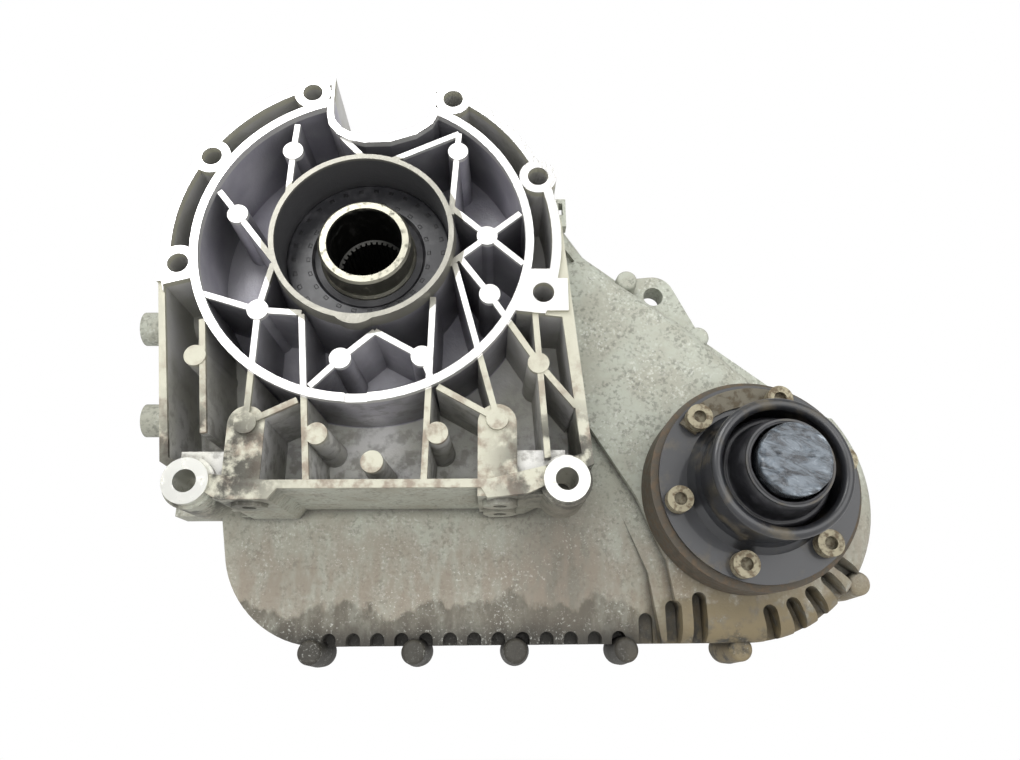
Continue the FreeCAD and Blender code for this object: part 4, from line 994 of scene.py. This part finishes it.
@dataclass
class Studio:
    """White floor, soft lights and the camera."""

    floor_drop: float = 0.09
    floor_size: float = 9.0
    fade_start: float = 0.10
    fade_end: float = 0.24
    focal_mm: float = 27.354
    sensor_mm: float = 36.0
    nearest: float = 0.01
    farthest: float = 50.0
    eye: Triple = (0.06890, -0.36012, -0.20006)
    turn: Triple = (-0.32539642, -0.0058568, 0.01823719)
    world_strength: float = 0.62

    def camera(self) -> None:
        """Places the camera in front of and below the object, looking up at it."""
        data = bpy.data.cameras.new("camera")
        data.lens, data.sensor_width = self.focal_mm, self.sensor_mm
        data.clip_start, data.clip_end = self.nearest, self.farthest
        camera = bpy.data.objects.new("camera", data)
        bpy.context.scene.collection.objects.link(camera)
        turn = Vector(self.turn)
        spin = Matrix.Rotation(turn.length, 3, turn.normalized())
        base = Matrix(((1, 0, 0), (0, 0, -1), (0, 1, 0)))
        right, down, ahead = (base @ spin).row
        axes = Matrix((right, -down, -ahead)).transposed().to_4x4()
        camera.matrix_world = Matrix.Translation(self.eye) @ axes
        bpy.context.scene.camera = camera

    def world(self) -> None:
        """White behind everything, a plain soft level on the object."""
        world = bpy.data.worlds.new("studio")
        world.use_nodes = True
        bpy.context.scene.world = world
        tree = world.node_tree
        tree.nodes.clear()
        path = add(tree, "ShaderNodeLightPath", {}, {})
        rays = {0: path.outputs["Is Camera Ray"], 1: path.outputs["Is Transmission Ray"]}
        seen = add(tree, "ShaderNodeMath", {"operation": "MAXIMUM"}, rays)
        soft = add(tree, "ShaderNodeBackground", {}, {"Color": WHITE, "Strength": self.world_strength})
        plain = add(tree, "ShaderNodeBackground", {}, {"Color": WHITE, "Strength": 1.0})
        inputs = {0: seen.outputs[0], 1: soft.outputs[0], 2: plain.outputs[0]}
        mix = add(tree, "ShaderNodeMixShader", {}, inputs)
        add(tree, "ShaderNodeOutputWorld", {}, {"Surface": mix.outputs[0]})

    def floor(self, low: Vector, high: Vector) -> None:
        """Pale floor below the hanging object.

        Args:
            low: Lowest corner of the object.
            high: Highest corner of the object.
        """
        mesh = bmesh.new()
        bmesh.ops.create_grid(mesh, x_segments=4, y_segments=4, size=self.floor_size)
        data = bpy.data.meshes.new("floor")
        mesh.to_mesh(data)
        mesh.free()
        floor = bpy.data.objects.new("floor", data)
        floor.location = ((low.x + high.x) / 2, high.y, low.z - self.floor_drop)
        bpy.context.scene.collection.objects.link(floor)
        s = Sheet("matt_white_card")
        card = s.cover("#f6f6f6", "#e8e8e8", s.patches(3.0, 0.3, 0.7), 0.04)
        data.materials.append(s.finish(card, 0.0, 0.8))
        # the floor turns to plain white further out, for the camera only
        seen = s.node("ShaderNodeLightPath", {}, "Is Camera Ray")
        far = s.node("ShaderNodeVectorMath", {0: s.coords}, "Value", operation="LENGTH")
        fade = s.times(s.band(far, self.fade_start, self.fade_end), seen)
        glow = s.node("ShaderNodeEmission", {"Color": WHITE, "Strength": 1.0})
        mix = s.node("ShaderNodeMixShader", {0: fade, 1: s.shader.outputs[0], 2: glow})
        s.tree.links.new(mix, s.tree.nodes["Material Output"].inputs["Surface"])
        floor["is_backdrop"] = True

    def build(self, low: Vector, high: Vector) -> None:
        """Builds camera, world, floor and lamps.

        Args:
            low: Lowest corner of the object.
            high: Highest corner of the object.
        """
        self.camera()
        self.world()
        self.floor(low, high)
        for lamp in LAMPS:
            lamp.hang((low + high) / 2)
        bpy.context.scene.view_settings.view_transform = "Standard"


def main() -> None:
    """Builds the scene in order and reports each piece."""
    logging.basicConfig(level=logging.INFO, format="%(name)s: %(message)s")
    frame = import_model()
    cad_low, cad_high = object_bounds()
    Studio().build(cad_low, cad_high)
    LOG.info("studio is ready")
    Dresser(frame["nodes"]).run()
    low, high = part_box("joint_boot")
    middle = Vector(((low.x + high.x) / 2, 0, (low.z + high.z) / 2))
    film = ShaftWrap().build(middle)
    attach(film, "propshaft_stub")
    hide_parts("end_wrap")
    LOG.info("shaft end film: %d faces", len(film.data.polygons))
    boot = JointBoot().build(middle, low, high)
    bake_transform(boot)
    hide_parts("joint_boot")
    LOG.info("rolled joint boot: %d faces", len(boot.data.polygons))
    low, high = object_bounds()


if __name__ == "__main__":
    main()
